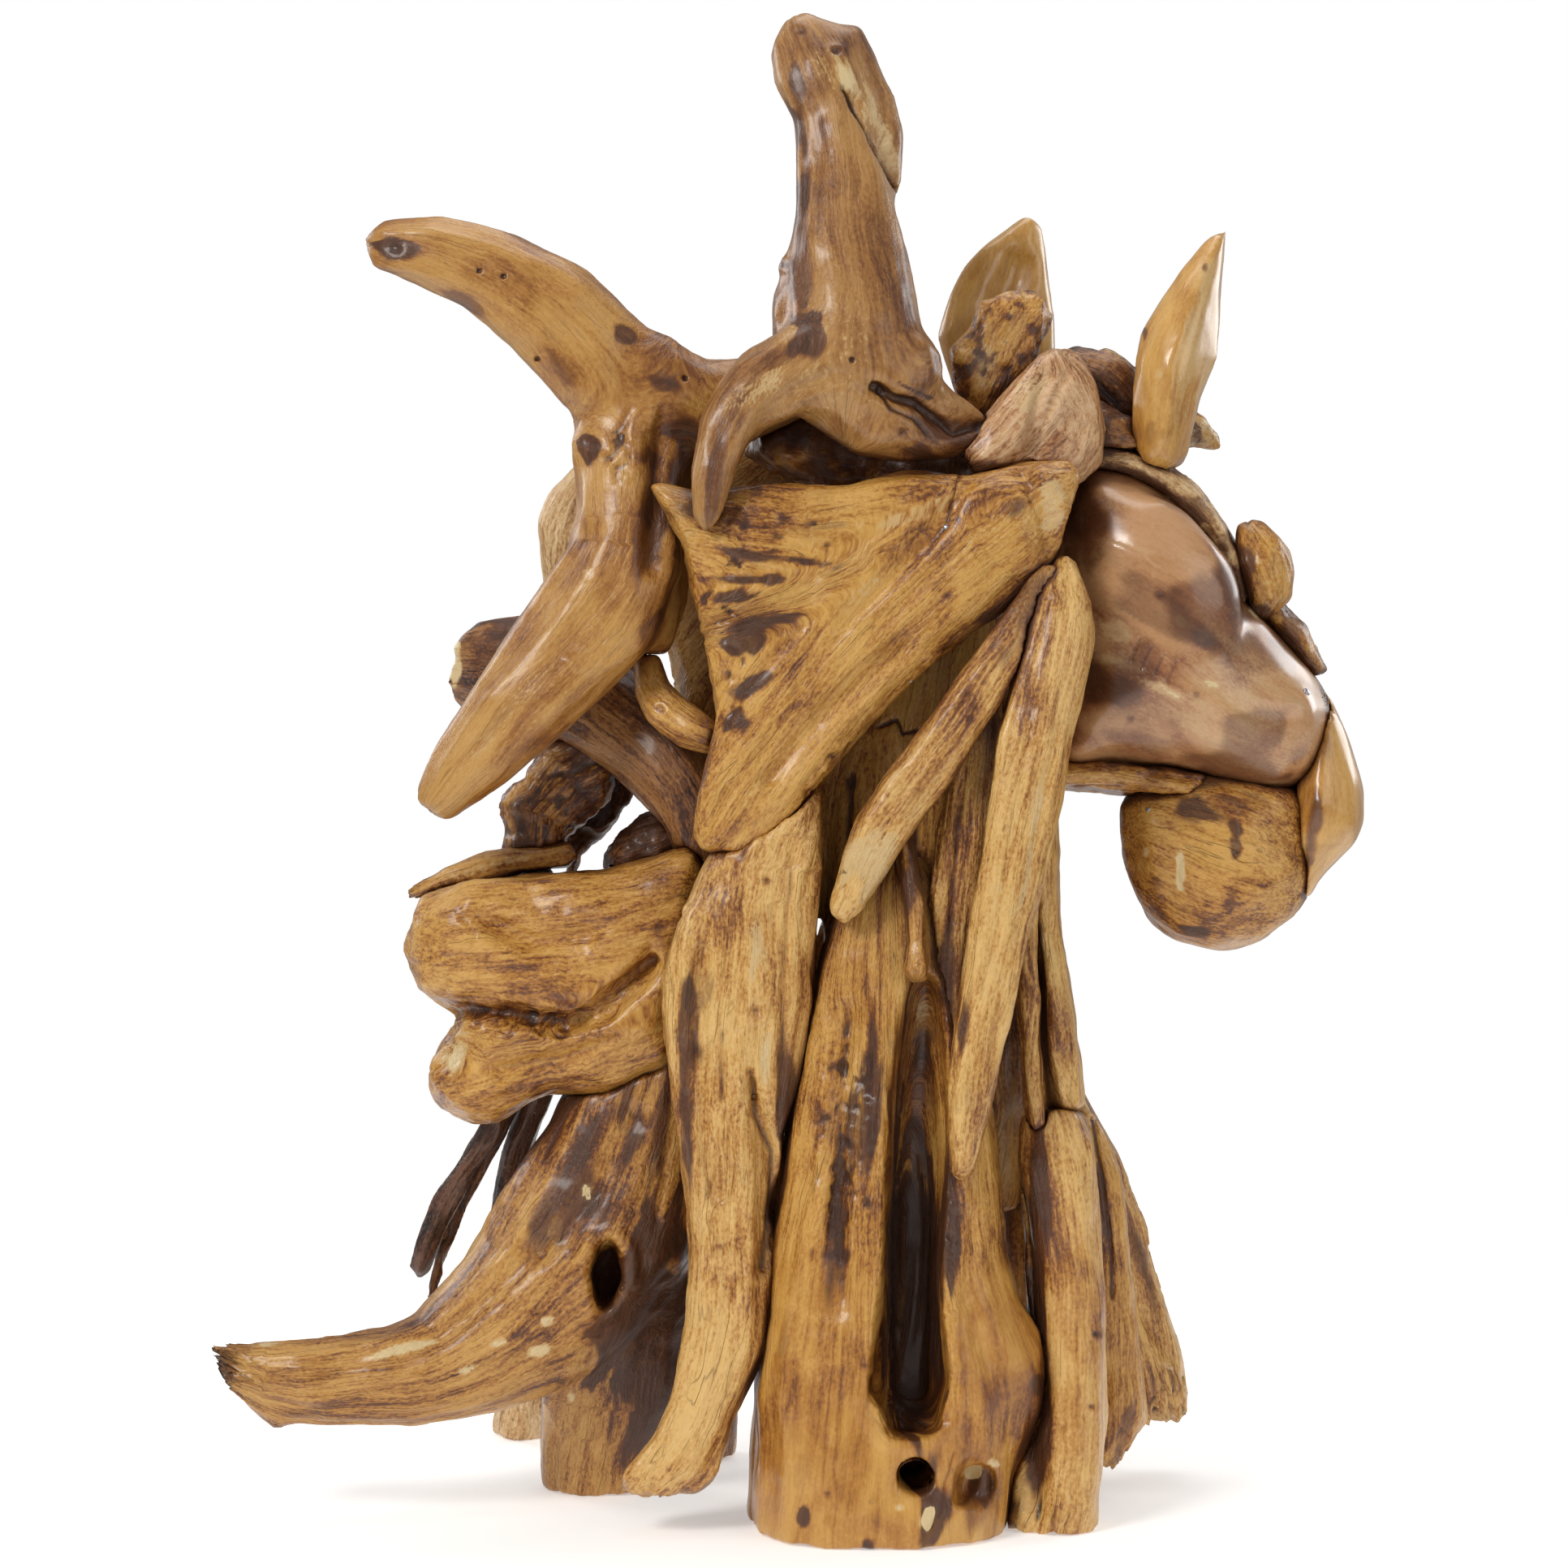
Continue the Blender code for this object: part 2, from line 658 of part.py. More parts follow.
# Forelock knot: the short lump of root set on the forehead
set_piece(
    "forelock_knot", HONEY, 0.36, 90,
    [
        limb([(154.1, 65.4, 1, 1.8, 3.0), (155.4, 68.6, 1, 3.2, 5.0), (156.4, 72.2, 1, 2.8, 4.6),
              (155.6, 75.4, 1, 1.5, 2.6)]),
    ],
)

# Near ear: a carved leaf that stands edge on
set_piece(
    "near_ear", HONEY, 0.22, 100,
    [
        limb([(150.8, 28.4, 0, 0.5, 1.0), (147.6, 35.2, 0, 2.8, 4.4), (145.3, 42.4, -1, 4.6, 6.4),
              (143.6, 49.6, -2, 4.0, 5.4), (142.8, 56.8, -2, 3.0, 3.8)], squareness=1.7, ends=(0.5, 0.4)),
    ],
)

# Far ear: a carved leaf that shows its hollow face
set_piece(
    "far_ear", AMBER, 0.2, 110,
    [
        slab(
            [(115.9, 42), (116.7, 37.4), (120.0, 32.0), (123.6, 28.4), (126.6, 26.8), (128.2, 28.4),
             (129.2, 33), (129.6, 40), (129.8, 48), (129, 58), (122, 58), (118.6, 51)],
            depth=15, half_depth=2.6, lean=(0.15, 0), crown=5,
        ),
    ],
    grooves=[([(125.2, 33), (123.4, 38), (122.6, 46)], 3.0, 1.6)],
)

# Poll fork: the pale forked root that ties the crest root to the head
set_piece(
    "poll_fork", PALE, 0.3, 130,
    [
        limb([(129.8, 44.6, -6, 2.2, 2.6), (127.4, 49.2, -8, 3.4, 3.8), (124.0, 53.6, -10, 3.6, 4.0),
              (119.8, 57.0, -11, 3.0, 3.2)], ends=(0.8, 0.1)),
        limb([(130.2, 44.8, -5, 2.6, 2.8), (131.4, 50, -6, 4.0, 4.0), (131.0, 55.6, -7, 4.4, 4.2),
              (127.0, 58.0, -9, 2.6, 3.6)]),
    ],
    grooves=[([(129.0, 46), (127.4, 51), (126.8, 56)], 1.1, 1.4)],
)

# Tan plate: the mottled flat root end between the crest root and the far ear
set_piece(
    "tan_plate", GOLDEN, 0.4, 80,
    [
        slab(
            [(116.8, 43.6), (119.6, 40), (121.4, 36.4), (126, 35.6), (129.0, 37.0), (129.6, 40.4), (127.8, 45),
             (125, 50), (122.4, 54), (118.6, 50)],
            depth=0, half_depth=2.6, lean=(0.2, 0), crown=3,
        ),
    ],
)

# Crown cap, wedge and stub: the dark weathered roots behind the ears
set_piece(
    "crown_cap", BROWN, 0.3, 70,
    [
        slab(
            [(131.2, 43.4), (137, 43.6), (140.8, 47.0), (141.6, 52), (138.6, 52.6), (134, 49.8), (131.4, 47.8)],
            depth=5, half_depth=5, crown=3,
        ),
    ],
)
set_piece(
    "crown_wedge", BROWN, 0.42, 56,
    [
        slab(
            [(131.6, 51), (134.6, 49.8), (138.4, 51.4), (141.8, 54.0), (142.4, 57.0), (137.4, 56.4), (132, 57)],
            depth=0, half_depth=5, crown=4,
        ),
    ],
)
set_piece(
    "crown_stub", GOLDEN, 0.4, 50,
    [
        limb([(140.6, 51.6, 8, 2.6, 3.4), (146.6, 52.8, 10, 2.2, 2.6), (150.4, 55.2, 11, 0.6, 0.8)]),
    ],
)

# Neck boards: the boards that show between the straps
set_piece(
    "neck_plank", GOLDEN, 0.4, 80,
    [
        limb([(121.6, 84, -13, 1.8, 2.2), (120.2, 95, -13, 3.4, 2.4), (118.8, 106, -13.6, 3.8, 2.4),
              (117.8, 116, -14, 3.4, 2.4), (117.6, 125, -14.5, 2.4, 2.2), (117.4, 134, -15, 1.6, 1.8)],
             squareness=3),
    ],
)
set_piece(
    "knob_stick", BROWN, 0.32, 64,
    [
        limb([(111.2, 103, -14.6, 1.4, 1.8), (112.4, 110, -16.4, 1.4, 1.8), (113.0, 116.4, -17.8, 1.1, 1.4),
              (112.9, 119.8, -18.6, 1.6, 1.7)]),
    ],
)
set_piece(
    "front_edge_plank", HONEY, 0.42, 84,
    [
        limb([(127.6, 86, -6, 2.4, 5.0), (127.8, 98, -7, 2.1, 5.6), (128.2, 108, -7, 1.8, 6.0),
              (129.4, 118, -7, 1.7, 6.0), (130.5, 127, -7, 1.8, 6.0), (131.6, 136.4, -7, 2.0, 5.2)],
             squareness=3, ends=(0.5, 0.2)),
    ],
)
set_piece(
    "front_slat", HONEY, 0.42, 64,
    [
        limb([(126.6, 104, -11, 1.4, 2.2), (126.6, 116, -12, 1.5, 2.2), (127.0, 128, -12, 1.4, 2.2),
              (127.8, 138.6, -12, 0.9, 1.8)], squareness=3),
    ],
)

# Right legs: the roots that splay out at the front of the neck
set_piece(
    "right_leg", GOLDEN, 0.38, 170,
    [
        limb([(129.6, 137.0, -9, 3.8, 4.6), (130.0, 141, -9, 4.6, 5.0), (131.0, 150, -9, 4.3, 5.0),
              (132.0, 160, -9, 4.2, 5.0), (132.1, 172, -10, 4.3, 5.2), (131.1, 182, -11, 4.6, 5.4),
              (130.0, 193, -12, 4.8, 5.6)], ends=(0.2, 0)),
        limb([(130.0, 168, -7, 4.0, 4.0), (127.4, 180, -9, 4.0, 4.2), (126.2, 193, -11, 3.6, 5.0)], ends=(0.8, 0)),
    ],
    grooves=[([(127.6, 172), (127.4, 180), (128.0, 188)], 1.7, 1.4)],
)
set_piece(
    "right_splint", HONEY, 0.42, 56,
    [
        limb([(126.6, 135, -8, 1.2, 1.8), (127.2, 146, -8, 1.4, 2.0), (127.6, 158, -8, 1.2, 1.8),
              (127.8, 168, -8, 0.7, 1.2)]),
    ],
)
set_piece(
    "right_plank", GOLDEN, 0.4, 100,
    [
        slab(
            [(132.6, 136), (136.0, 139.4), (138.2, 148), (139.2, 158), (140.6, 168), (141.2, 174),
             (139.8, 177.6), (136.6, 180.6), (133.8, 179), (133.2, 160), (132.8, 146)],
            depth=4, half_depth=4.6, crown=4,
        ),
    ],
)
set_piece(
    "right_skirt", HONEY, 0.4, 110,
    [
        slab(
            [(131.4, 131.6), (134.0, 135.8), (137.9, 143.8), (140.8, 151.3), (143.2, 159.8), (145.8, 168.4),
             (146.2, 173.2), (141, 174.6), (136, 172), (134.2, 156), (132.4, 142)],
            depth=15, half_depth=6.0, lean=(0.3, 0), crown=5,
        ),
    ],
    grooves=[([(138.6, 150), (141.0, 160), (143.4, 168)], 1.4, 1.4)],
)

# Side block: the two-lobed lump that sticks out to the left behind the mane
set_piece(
    "side_block", GOLDEN, 0.36, 220,
    [
        slab(
            [(50.9, 114.6), (51.9, 111.2), (56.6, 108.8), (65, 108.2), (74, 107.6), (81, 105.8), (86, 104.6),
             (87, 112), (86, 122), (83, 130), (78.4, 133), (73.6, 134.6), (67.6, 134.2), (63.4, 136.4),
             (59.8, 138.2), (55.6, 136.6), (52.8, 133.8), (53.6, 130.6), (56.6, 126.2), (55.8, 124),
             (52.0, 121.8), (50.8, 118)],
            depth=-2, half_depth=8.5, crown=8,
        ),
    ],
    grooves=[
        ([(51.6, 126.4), (58, 124.4), (64, 125.0), (70.4, 126.4), (75.4, 124), (80.4, 118.4)], 1.9, 2.8),
        ([(60, 113), (66, 116.4), (73, 115.2)], 2.2, 1.2),
        ([(60, 131.8), (68, 131.2), (76, 128)], 1.8, 1.1),
    ],
)
set_piece(
    "side_splinter", BROWN, 0.4, 60,
    [
        limb([(50.8, 109.9, 1, 1.0, 1.6), (55.2, 108.4, 1, 1.5, 2.6), (62, 106.4, 2, 1.7, 3.0),
              (70, 105.4, 2, 1.5, 3.0)]),
    ],
)

# Burr pieces: the rusty weathered lumps over the side block, open to the light between them
set_piece(
    "rust_burr", BROWN, 0.42, 100,
    [
        slab(
            [(61.4, 99.0), (64.9, 96.2), (66.6, 93.2), (71, 90), (76, 92), (75, 97.4), (71.8, 101),
             (68.8, 104), (68.2, 108.4), (65, 108.6), (62.2, 104.6), (62.6, 102)],
            depth=5, half_depth=4.6, crown=4,
        ),
    ],
)
set_piece(
    "dark_burr", DARK, 0.4, 84,
    [
        slab(
            [(71, 93), (76, 92), (78.6, 94.6), (76.6, 98.8), (73.6, 103.0), (71.4, 103.8), (69.4, 101)],
            depth=14, half_depth=5, crown=3,
        ),
        limb([(70.6, 101, 13, 0.9, 1.2), (70.4, 109.5, 9, 0.6, 1.0)], ends=(0, 0)),
    ],
)
set_piece(
    "dark_boss", DARK, 0.35, 60,
    [
        slab([(74.2, 107.4), (75.2, 104.4), (77.6, 102.0), (81.0, 100.2), (84.6, 102), (86, 107.6), (78.6, 108.8)],
             depth=4, half_depth=4.6, crown=3),
    ],
)

# Dark root: the thick curved root behind the left crown root, with a bleached sawn end
set_piece(
    "dark_root", BROWN, 0.3, 150,
    [
        limb([(57.1, 82.2, 12, 5.5, 5.0), (64.6, 83.0, 9, 5.9, 6.0), (72.4, 86.2, 5, 6.6, 6.4),
              (79.6, 91.4, 1, 6.0, 6.4), (84.6, 98.4, -2, 4.4, 5.4), (86.4, 106, -3, 3.0, 4.6)],
             ends=(0, 0.8)),
        limb([(59.6, 78.2, 10, 2.2, 3.0), (66, 79, 9, 3.0, 4.0)]),
    ],
)
set_piece(
    "small_hook", HONEY, 0.26, 80,
    [
        limb([(79.6, 80.6, -5, 1.6, 2.0), (80.6, 85.6, -7, 2.2, 2.6), (83.8, 88.8, -9, 2.6, 2.8),
              (87.4, 90.6, -10, 2.2, 2.6)]),
    ],
)

# Pale bulge: the bleached root behind the left crown root
set_piece(
    "pale_bulge", PALE, 0.45, 90,
    [
        limb([(76.8, 56.4, 2, 3.4, 4.0), (73.0, 63.8, 4, 5.8, 5.0), (71.8, 69.6, 5, 5.0, 5.0), (73, 78, 6, 4.6, 5.0),
              (77.6, 86, 7, 4.6, 5.0)]),
    ],
)

# Base root: the big root on the floor at the left, with an arm that ends in a break
set_piece(
    "base_root", BROWN, 0.28, 370,
    [
        limb([(30.2, 168.6, -8, 3.0, 3.0), (34.8, 170.2, -8, 4.8, 4.2), (45, 169.7, -7, 5.6, 5.2),
              (54.4, 168.2, -5, 7.2, 6.4), (64.4, 162.0, -2, 10.2, 8.2), (72.6, 153.2, 0, 12.2, 9.4),
              (77.4, 141.6, 1, 10.4, 9.0), (80.6, 130, 1, 8.4, 7.4), (83, 121, 1, 5.0, 5.4)]),
        limb([(76.0, 158, 3, 9.8, 8.0), (75.8, 169, 6, 9.4, 7.2), (73.8, 179, 10, 6.9, 6.4),
              (72.8, 195, 13, 5.8, 6.0)], ends=(0.8, 0)),
        limb([(33, 167.8, -8, 2.0, 2.2), (25.0, 165.6, -8, 0.5, 0.7)], ends=(0, 0.8)),
        limb([(33.4, 172, -8, 2.6, 2.4), (34.6, 175.8, -8, 1.0, 1.2)], ends=(0, 0.8)),
    ],
    grooves=[
        ([(40, 169), (50, 167), (58, 162.4), (66, 154)], 2.2, 0.9),
        ([(78.6, 137), (73.6, 146), (67, 155)], 2.2, 0.9),
    ],
    carve=[
        limb([(75.0, 153.4, -10, 1.2, 6.0), (74.6, 157.4, -10, 2.3, 8.0), (74.2, 160.6, -10, 1.4, 6.0)]),
    ],
)

# Hanging sticks: three thin roots under the side block
for stick, (tint, gloss, rings) in {
    "hanging_stick_left": (DARK, 0.3, [(62.8, 133, 4, 1.4, 1.6), (60.5, 139.4, 5, 1.3, 1.6),
                                       (56.3, 145.6, 6, 1.4, 1.6), (53.2, 151.6, 6, 1.5, 1.6),
                                       (51.5, 156.8, 6, 1.2, 1.2)]),
    "hanging_stick_middle": (BROWN, 0.4, [(65, 130, 3.5, 1.4, 1.8), (62.0, 138.4, 7, 1.1, 1.4),
                                          (57.6, 146.6, 9, 1.1, 1.4), (54.6, 153.6, 10, 1.0, 1.2),
                                          (52.9, 160.6, 10, 0.5, 0.6)]),
    "hanging_stick_right": (DARK, 0.4, [(68, 130, 4, 1.8, 2.4), (65.0, 138, 8, 1.5, 2.2),
                                        (62.8, 144, 10.4, 1.5, 1.8), (61.2, 150.6, 12, 1.0, 1.1)]),
}.items():
    set_piece(stick, tint, gloss, 60, [limb(rings)])

# Neck root: the broad old root between the straps, which the boards are fixed to
set_piece(
    "neck_root", BROWN, 0.42, 150,
    [
        limb([(97, 53, 3, 6.0, 6.0), (106, 57, 3, 6.4, 7.0), (114, 62, 4, 8.0, 7.0)]),
        limb([(119, 60, 4, 9.0, 7.0), (118, 74, 4, 11.4, 9.0), (115.4, 90, 3, 12.6, 10.4),
              (114.4, 106, 3, 12.4, 10.6), (114.4, 122, 4, 12.6, 10.0), (114.8, 136, 6, 13.0, 9.0),
              (115, 146, 8, 12.0, 7.0)], squareness=2.6),
        limb([(108, 82, 3, 8.0, 8.0), (98, 92, 3, 8.0, 8.0), (93, 106, 2, 8.0, 8.0), (92, 124, 2, 7.0, 8.0)]),
        limb([(120, 57, 2, 4.0, 6.0), (127, 54, 2, 4.0, 6.0)]),
    ],
)

# Back legs and slabs: the far side of the mane, down to the floor
set_piece(
    "back_mane_slab", HONEY, 0.42, 110,
    [
        slab(
            [(80, 60), (90, 54), (102, 52), (114, 54), (126, 58), (129, 66), (126, 76), (118, 84),
             (108, 92), (98, 102), (90, 108), (85, 104), (84.6, 94), (83, 82), (80, 70)],
            depth=14.0, half_depth=4.2, crown=7,
        ),
    ],
)
set_piece(
    "back_mane_root", GOLDEN, 0.42, 100,
    [
        limb([(97, 92, 13, 4.0, 3.6), (93, 106, 14, 6.0, 4.4), (90.6, 122, 15, 6.4, 5.0),
              (89.8, 140, 19, 5.0, 5.0), (89.2, 156, 24, 3.6, 4.4), (88.4, 168, 28, 2.8, 4.0),
              (87.9, 184, 30, 2.8, 4.0)], ends=(0.8, 0)),
    ],
)
set_piece(
    "back_strap", HONEY, 0.42, 76,
    [
        limb([(127, 70, 14.5, 2.0, 2.4), (121, 84, 16, 4.0, 3.0), (114, 98, 16, 4.2, 3.0),
              (106, 112, 16, 3.8, 2.8), (99, 126, 18, 2.4, 2.2)], squareness=3),
    ],
)
set_piece(
    "back_front_strap", HONEY, 0.42, 80,
    [
        limb([(128, 80, 11, 2.6, 3.0), (126, 94, 14, 4.0, 3.2), (124.6, 110, 15, 4.0, 3.2),
              (123, 126, 15.6, 4.0, 3.2), (121, 144, 17, 3.2, 3.0), (120, 156, 18.5, 1.8, 2.2)], squareness=3),
    ],
)
set_piece(
    "back_right_leg", GOLDEN, 0.42, 90,
    [
        limb([(125.6, 118, 11, 3.4, 4.0), (127.4, 134, 13, 4.4, 4.8), (127, 150, 16, 4.4, 4.8),
              (126.4, 164, 20, 4.2, 4.8), (126.6, 182, 24, 4.4, 5.2)], ends=(0.8, 0)),
    ],
)
set_piece(
    "back_middle_leg", BROWN, 0.42, 90,
    [
        limb([(108, 116, 13.5, 4.0, 4.0), (107, 132, 15.5, 5.4, 4.8), (106, 150, 18, 5.2, 5.0),
              (107, 166, 21, 5.0, 5.2), (107.4, 186, 23, 5.4, 5.6)], ends=(0.8, 0)),
    ],
)
set_piece(
    "back_left_leg", PALE, 0.45, 90,
    [
        limb([(88, 128, 12, 4.0, 4.6), (81, 144, 20, 4.4, 5.0), (73, 160, 32, 4.0, 4.6),
              (66.0, 168, 40, 3.4, 4.2), (63.6, 180, 44.5, 3.3, 4.2)], squareness=2.8, ends=(0.8, 0)),
    ],
)


def drill_peg_hole(obj, column, row, depth):
    """Bores the round peg hole into the trunk's front, level with the floor."""
    mouth = real_place(sketch(column, row, depth))
    bm = bmesh.new()
    bmesh.ops.create_cone(
        bm, cap_ends=True, segments=16, radius1=PEG_HOLE_RADIUS, radius2=PEG_HOLE_RADIUS,
        depth=2 * PEG_HOLE_DEPTH,
    )
    bmesh.ops.rotate(bm, verts=bm.verts, cent=(0, 0, 0), matrix=Matrix.Rotation(math.pi / 2, 3, "X"))
    bmesh.ops.translate(bm, verts=bm.verts, vec=mouth)
    mesh = bpy.data.meshes.new("drill")
    bm.to_mesh(mesh)
    bm.free()
    drill = new_object("drill", mesh)
    cut(obj, drill)
    remove(drill)
    keep_largest(obj)


drill_peg_hole(bpy.data.objects["hollow_trunk"], 112.8, 181.9, TRUNK_FRONT)


def stand_at_origin():
    """Brings the middle of the footprint's box to the origin, and says how far everything moved."""
    boxes = [box_of(piece) for piece in PIECES]
    low = [min(box[0][axis] for box in boxes) for axis in range(3)]
    high = [max(box[1][axis] for box in boxes) for axis in range(3)]
    shift = Vector((-(low[0] + high[0]) / 2, -(low[1] + high[1]) / 2, -low[2]))
    for piece in PIECES:
        piece.data.transform(Matrix.Translation(shift))
    return shift


FRAME_SHIFT = stand_at_origin()
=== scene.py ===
"""A driftwood horse head sculpture: old teak roots, boards and polished blocks, nailed, glued and varnished.

The sections follow the sculpture as it is put together, from the root ends that stand on the floor up to
the crown and the head. Each piece is a finer copy of its solid, worked as wood is: its faces are eased, its
grain is laid along it, and its flutes, splits, knots and stains are put in where the real piece has them.
"""

import math

import bpy
import numpy as np
from mathutils.bvhtree import BVHTree
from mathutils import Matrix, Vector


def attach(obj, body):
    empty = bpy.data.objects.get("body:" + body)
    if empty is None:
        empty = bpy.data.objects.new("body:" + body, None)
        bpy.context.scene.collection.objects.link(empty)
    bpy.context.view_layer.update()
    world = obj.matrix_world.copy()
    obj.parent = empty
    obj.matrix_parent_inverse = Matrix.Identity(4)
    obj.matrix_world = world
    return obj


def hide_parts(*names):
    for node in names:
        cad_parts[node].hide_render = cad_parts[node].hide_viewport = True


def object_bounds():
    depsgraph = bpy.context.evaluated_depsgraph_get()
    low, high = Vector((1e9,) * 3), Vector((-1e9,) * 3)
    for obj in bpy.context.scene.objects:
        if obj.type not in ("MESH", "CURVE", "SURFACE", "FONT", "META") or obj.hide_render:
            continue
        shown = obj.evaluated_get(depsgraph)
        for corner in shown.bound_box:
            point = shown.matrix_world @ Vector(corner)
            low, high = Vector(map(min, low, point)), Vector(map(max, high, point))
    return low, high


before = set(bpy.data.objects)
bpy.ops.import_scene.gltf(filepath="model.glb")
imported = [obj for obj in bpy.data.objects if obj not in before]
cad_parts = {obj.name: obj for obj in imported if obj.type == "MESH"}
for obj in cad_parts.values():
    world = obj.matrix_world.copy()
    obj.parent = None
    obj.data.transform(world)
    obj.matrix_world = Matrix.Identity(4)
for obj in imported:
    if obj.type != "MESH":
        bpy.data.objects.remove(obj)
CAD_BOX = [list(corner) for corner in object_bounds()]

# ---------------------------------------------------------------- hollow trunk
# The stump at the front stands on its sawn foot and carries the neck. It is a fluted old root, open in a
# tall charred slot, with a drilled peg hole and a hollow burl low on its face, all under glossy varnish.

SQUARE = 1.40 / 184  # metres to a square of the elevation drawing, which is ten pixels of the picture
MIDDLE = 96.6  # the picture's middle column and row
VIEW_DISTANCE = 490.0  # from the camera to the drawing's plane, in squares
TILT = math.atan(19.4 / VIEW_DISTANCE)  # how far the camera looks down
EYE = np.array([-0.010731, -0.087649, 0.0]) + np.array([0, -VIEW_DISTANCE, 109.0]) * SQUARE
CHANCE = np.random.default_rng(11).random(65536)  # the table that all noise is drawn from
SKIN_SPACING = 1.25  # the skins are spaced this much wider than each piece asks for, to keep the meshes light
EASE_SHARES = (0.6, -0.42)  # each pass rubs the skin in, then lets most of it out again
FINE_REACH = 1.1  # how far round a narrow mark the skin is made finer, in squares
DIRT_AND_SHADE_REACH = 0.07  # how near a neighbour has to be to darken the wood with dirt at the joints and painted shade between the pieces, in metres
DIRT_AND_SHADE_RAYS = ((1, 0, 0), (0.6, 0.8, 0), (0.6, -0.4, 0.69), (0.6, -0.4, -0.69))  # outwards, to one side, to the other
ASKEW = (0.31, 0.17, 0.93)  # a direction that no face looks in


def spot(column, row, depth):
    """The real place of a point on the elevation drawing, at a depth behind its plane."""
    across, up = column - MIDDLE, MIDDLE - row
    forward = VIEW_DISTANCE * math.cos(TILT) + up * math.sin(TILT)
    up = up * math.cos(TILT) - VIEW_DISTANCE * math.sin(TILT)
    reach = (VIEW_DISTANCE + depth) / forward
    return EYE + np.array([across * reach, VIEW_DISTANCE + depth, up * reach]) * SQUARE


def speckle(places, seed):
    """Smooth noise from -1 to 1, which changes over about one unit."""
    cell = np.floor(places)
    share = places - cell
    share = share**3 * (share * (share * 6 - 15) + 10)
    cell = cell.astype(np.int64)
    total = np.zeros(len(places))
    for corner in np.ndindex(2, 2, 2):
        weight = np.prod(np.where(corner, share, 1 - share), axis=1)
        mixed = (cell + corner) @ np.array([73856093, 19349663, 83492791]) + seed * 2654435761
        mixed = (mixed ^ (mixed >> 15)) * 1274126177
        total += weight * CHANCE[(mixed ^ (mixed >> 13)) & 65535]
    return total * 2 - 1


def rough(places, seed, octaves=3):
    """Noise with finer and weaker noise on top of it."""
    return sum(speckle(places * 2**i + i * 7.3, seed + i) * 0.55**i for i in range(octaves))


def through(line, steps=3):
    """A line of knots drawn finer, on a smooth curve through them all."""
    knots = np.array(line, float)
    knots = np.vstack([2 * knots[0] - knots[1], knots, 2 * knots[-1] - knots[-2]])
    fine = []
    for a, b, c, d in zip(knots, knots[1:], knots[2:], knots[3:]):
        for t in np.arange(steps) / steps:
            fine.append(0.5 * (2 * b + (c - a) * t + (2 * a - 5 * b + 4 * c - d) * t**2
                               + (3 * b - a - 3 * c + d) * t**3))
    return np.array(fine + [knots[-2]])


def beside(line, places):
    """How far along a line of (column, row, depth, width) each place lies, how far to its side and behind it,
    its distance as a share of the width there, and the line's heading."""
    fine = through(line)
    knots = np.array([spot(*knot[:3]) for knot in fine])
    knots = np.vstack([1.4 * knots[0] - 0.4 * knots[1], knots[1:-1], 1.4 * knots[-1] - 0.4 * knots[-2]])
    widths = np.maximum(fine[:-1, 3], 0.5) * SQUARE
    run = np.diff(knots, axis=0)
    length = np.linalg.norm(run, axis=1)
    heading = run / length[:, None]
    gap = places[:, None, :] - knots[:-1]
    reach = np.clip((gap * heading).sum(-1), 0, length)
    offset = gap - reach[..., None] * heading
    nearest = np.linalg.norm(offset, axis=2) / widths
    pick = nearest.argmin(axis=1)
    rows = np.arange(len(places))
    way = heading[pick]
    side = np.cross(way, (0.0, 1.0, 0.0))
    side /= np.linalg.norm(side, axis=1)[:, None]
    deep = np.cross(side, way)
    offset = offset[rows, pick]
    along = np.concatenate([[0], np.cumsum(length)])[pick] + reach[rows, pick]
    along += (offset * way).sum(1)
    return along, (offset * side).sum(1), (offset * deep).sum(1), nearest[rows, pick], way, widths.mean()


def each(mark, *rows):
    """Puts in marks of the same kind one after another, each from its row of numbers."""
    for row in rows:
        mark(*row)


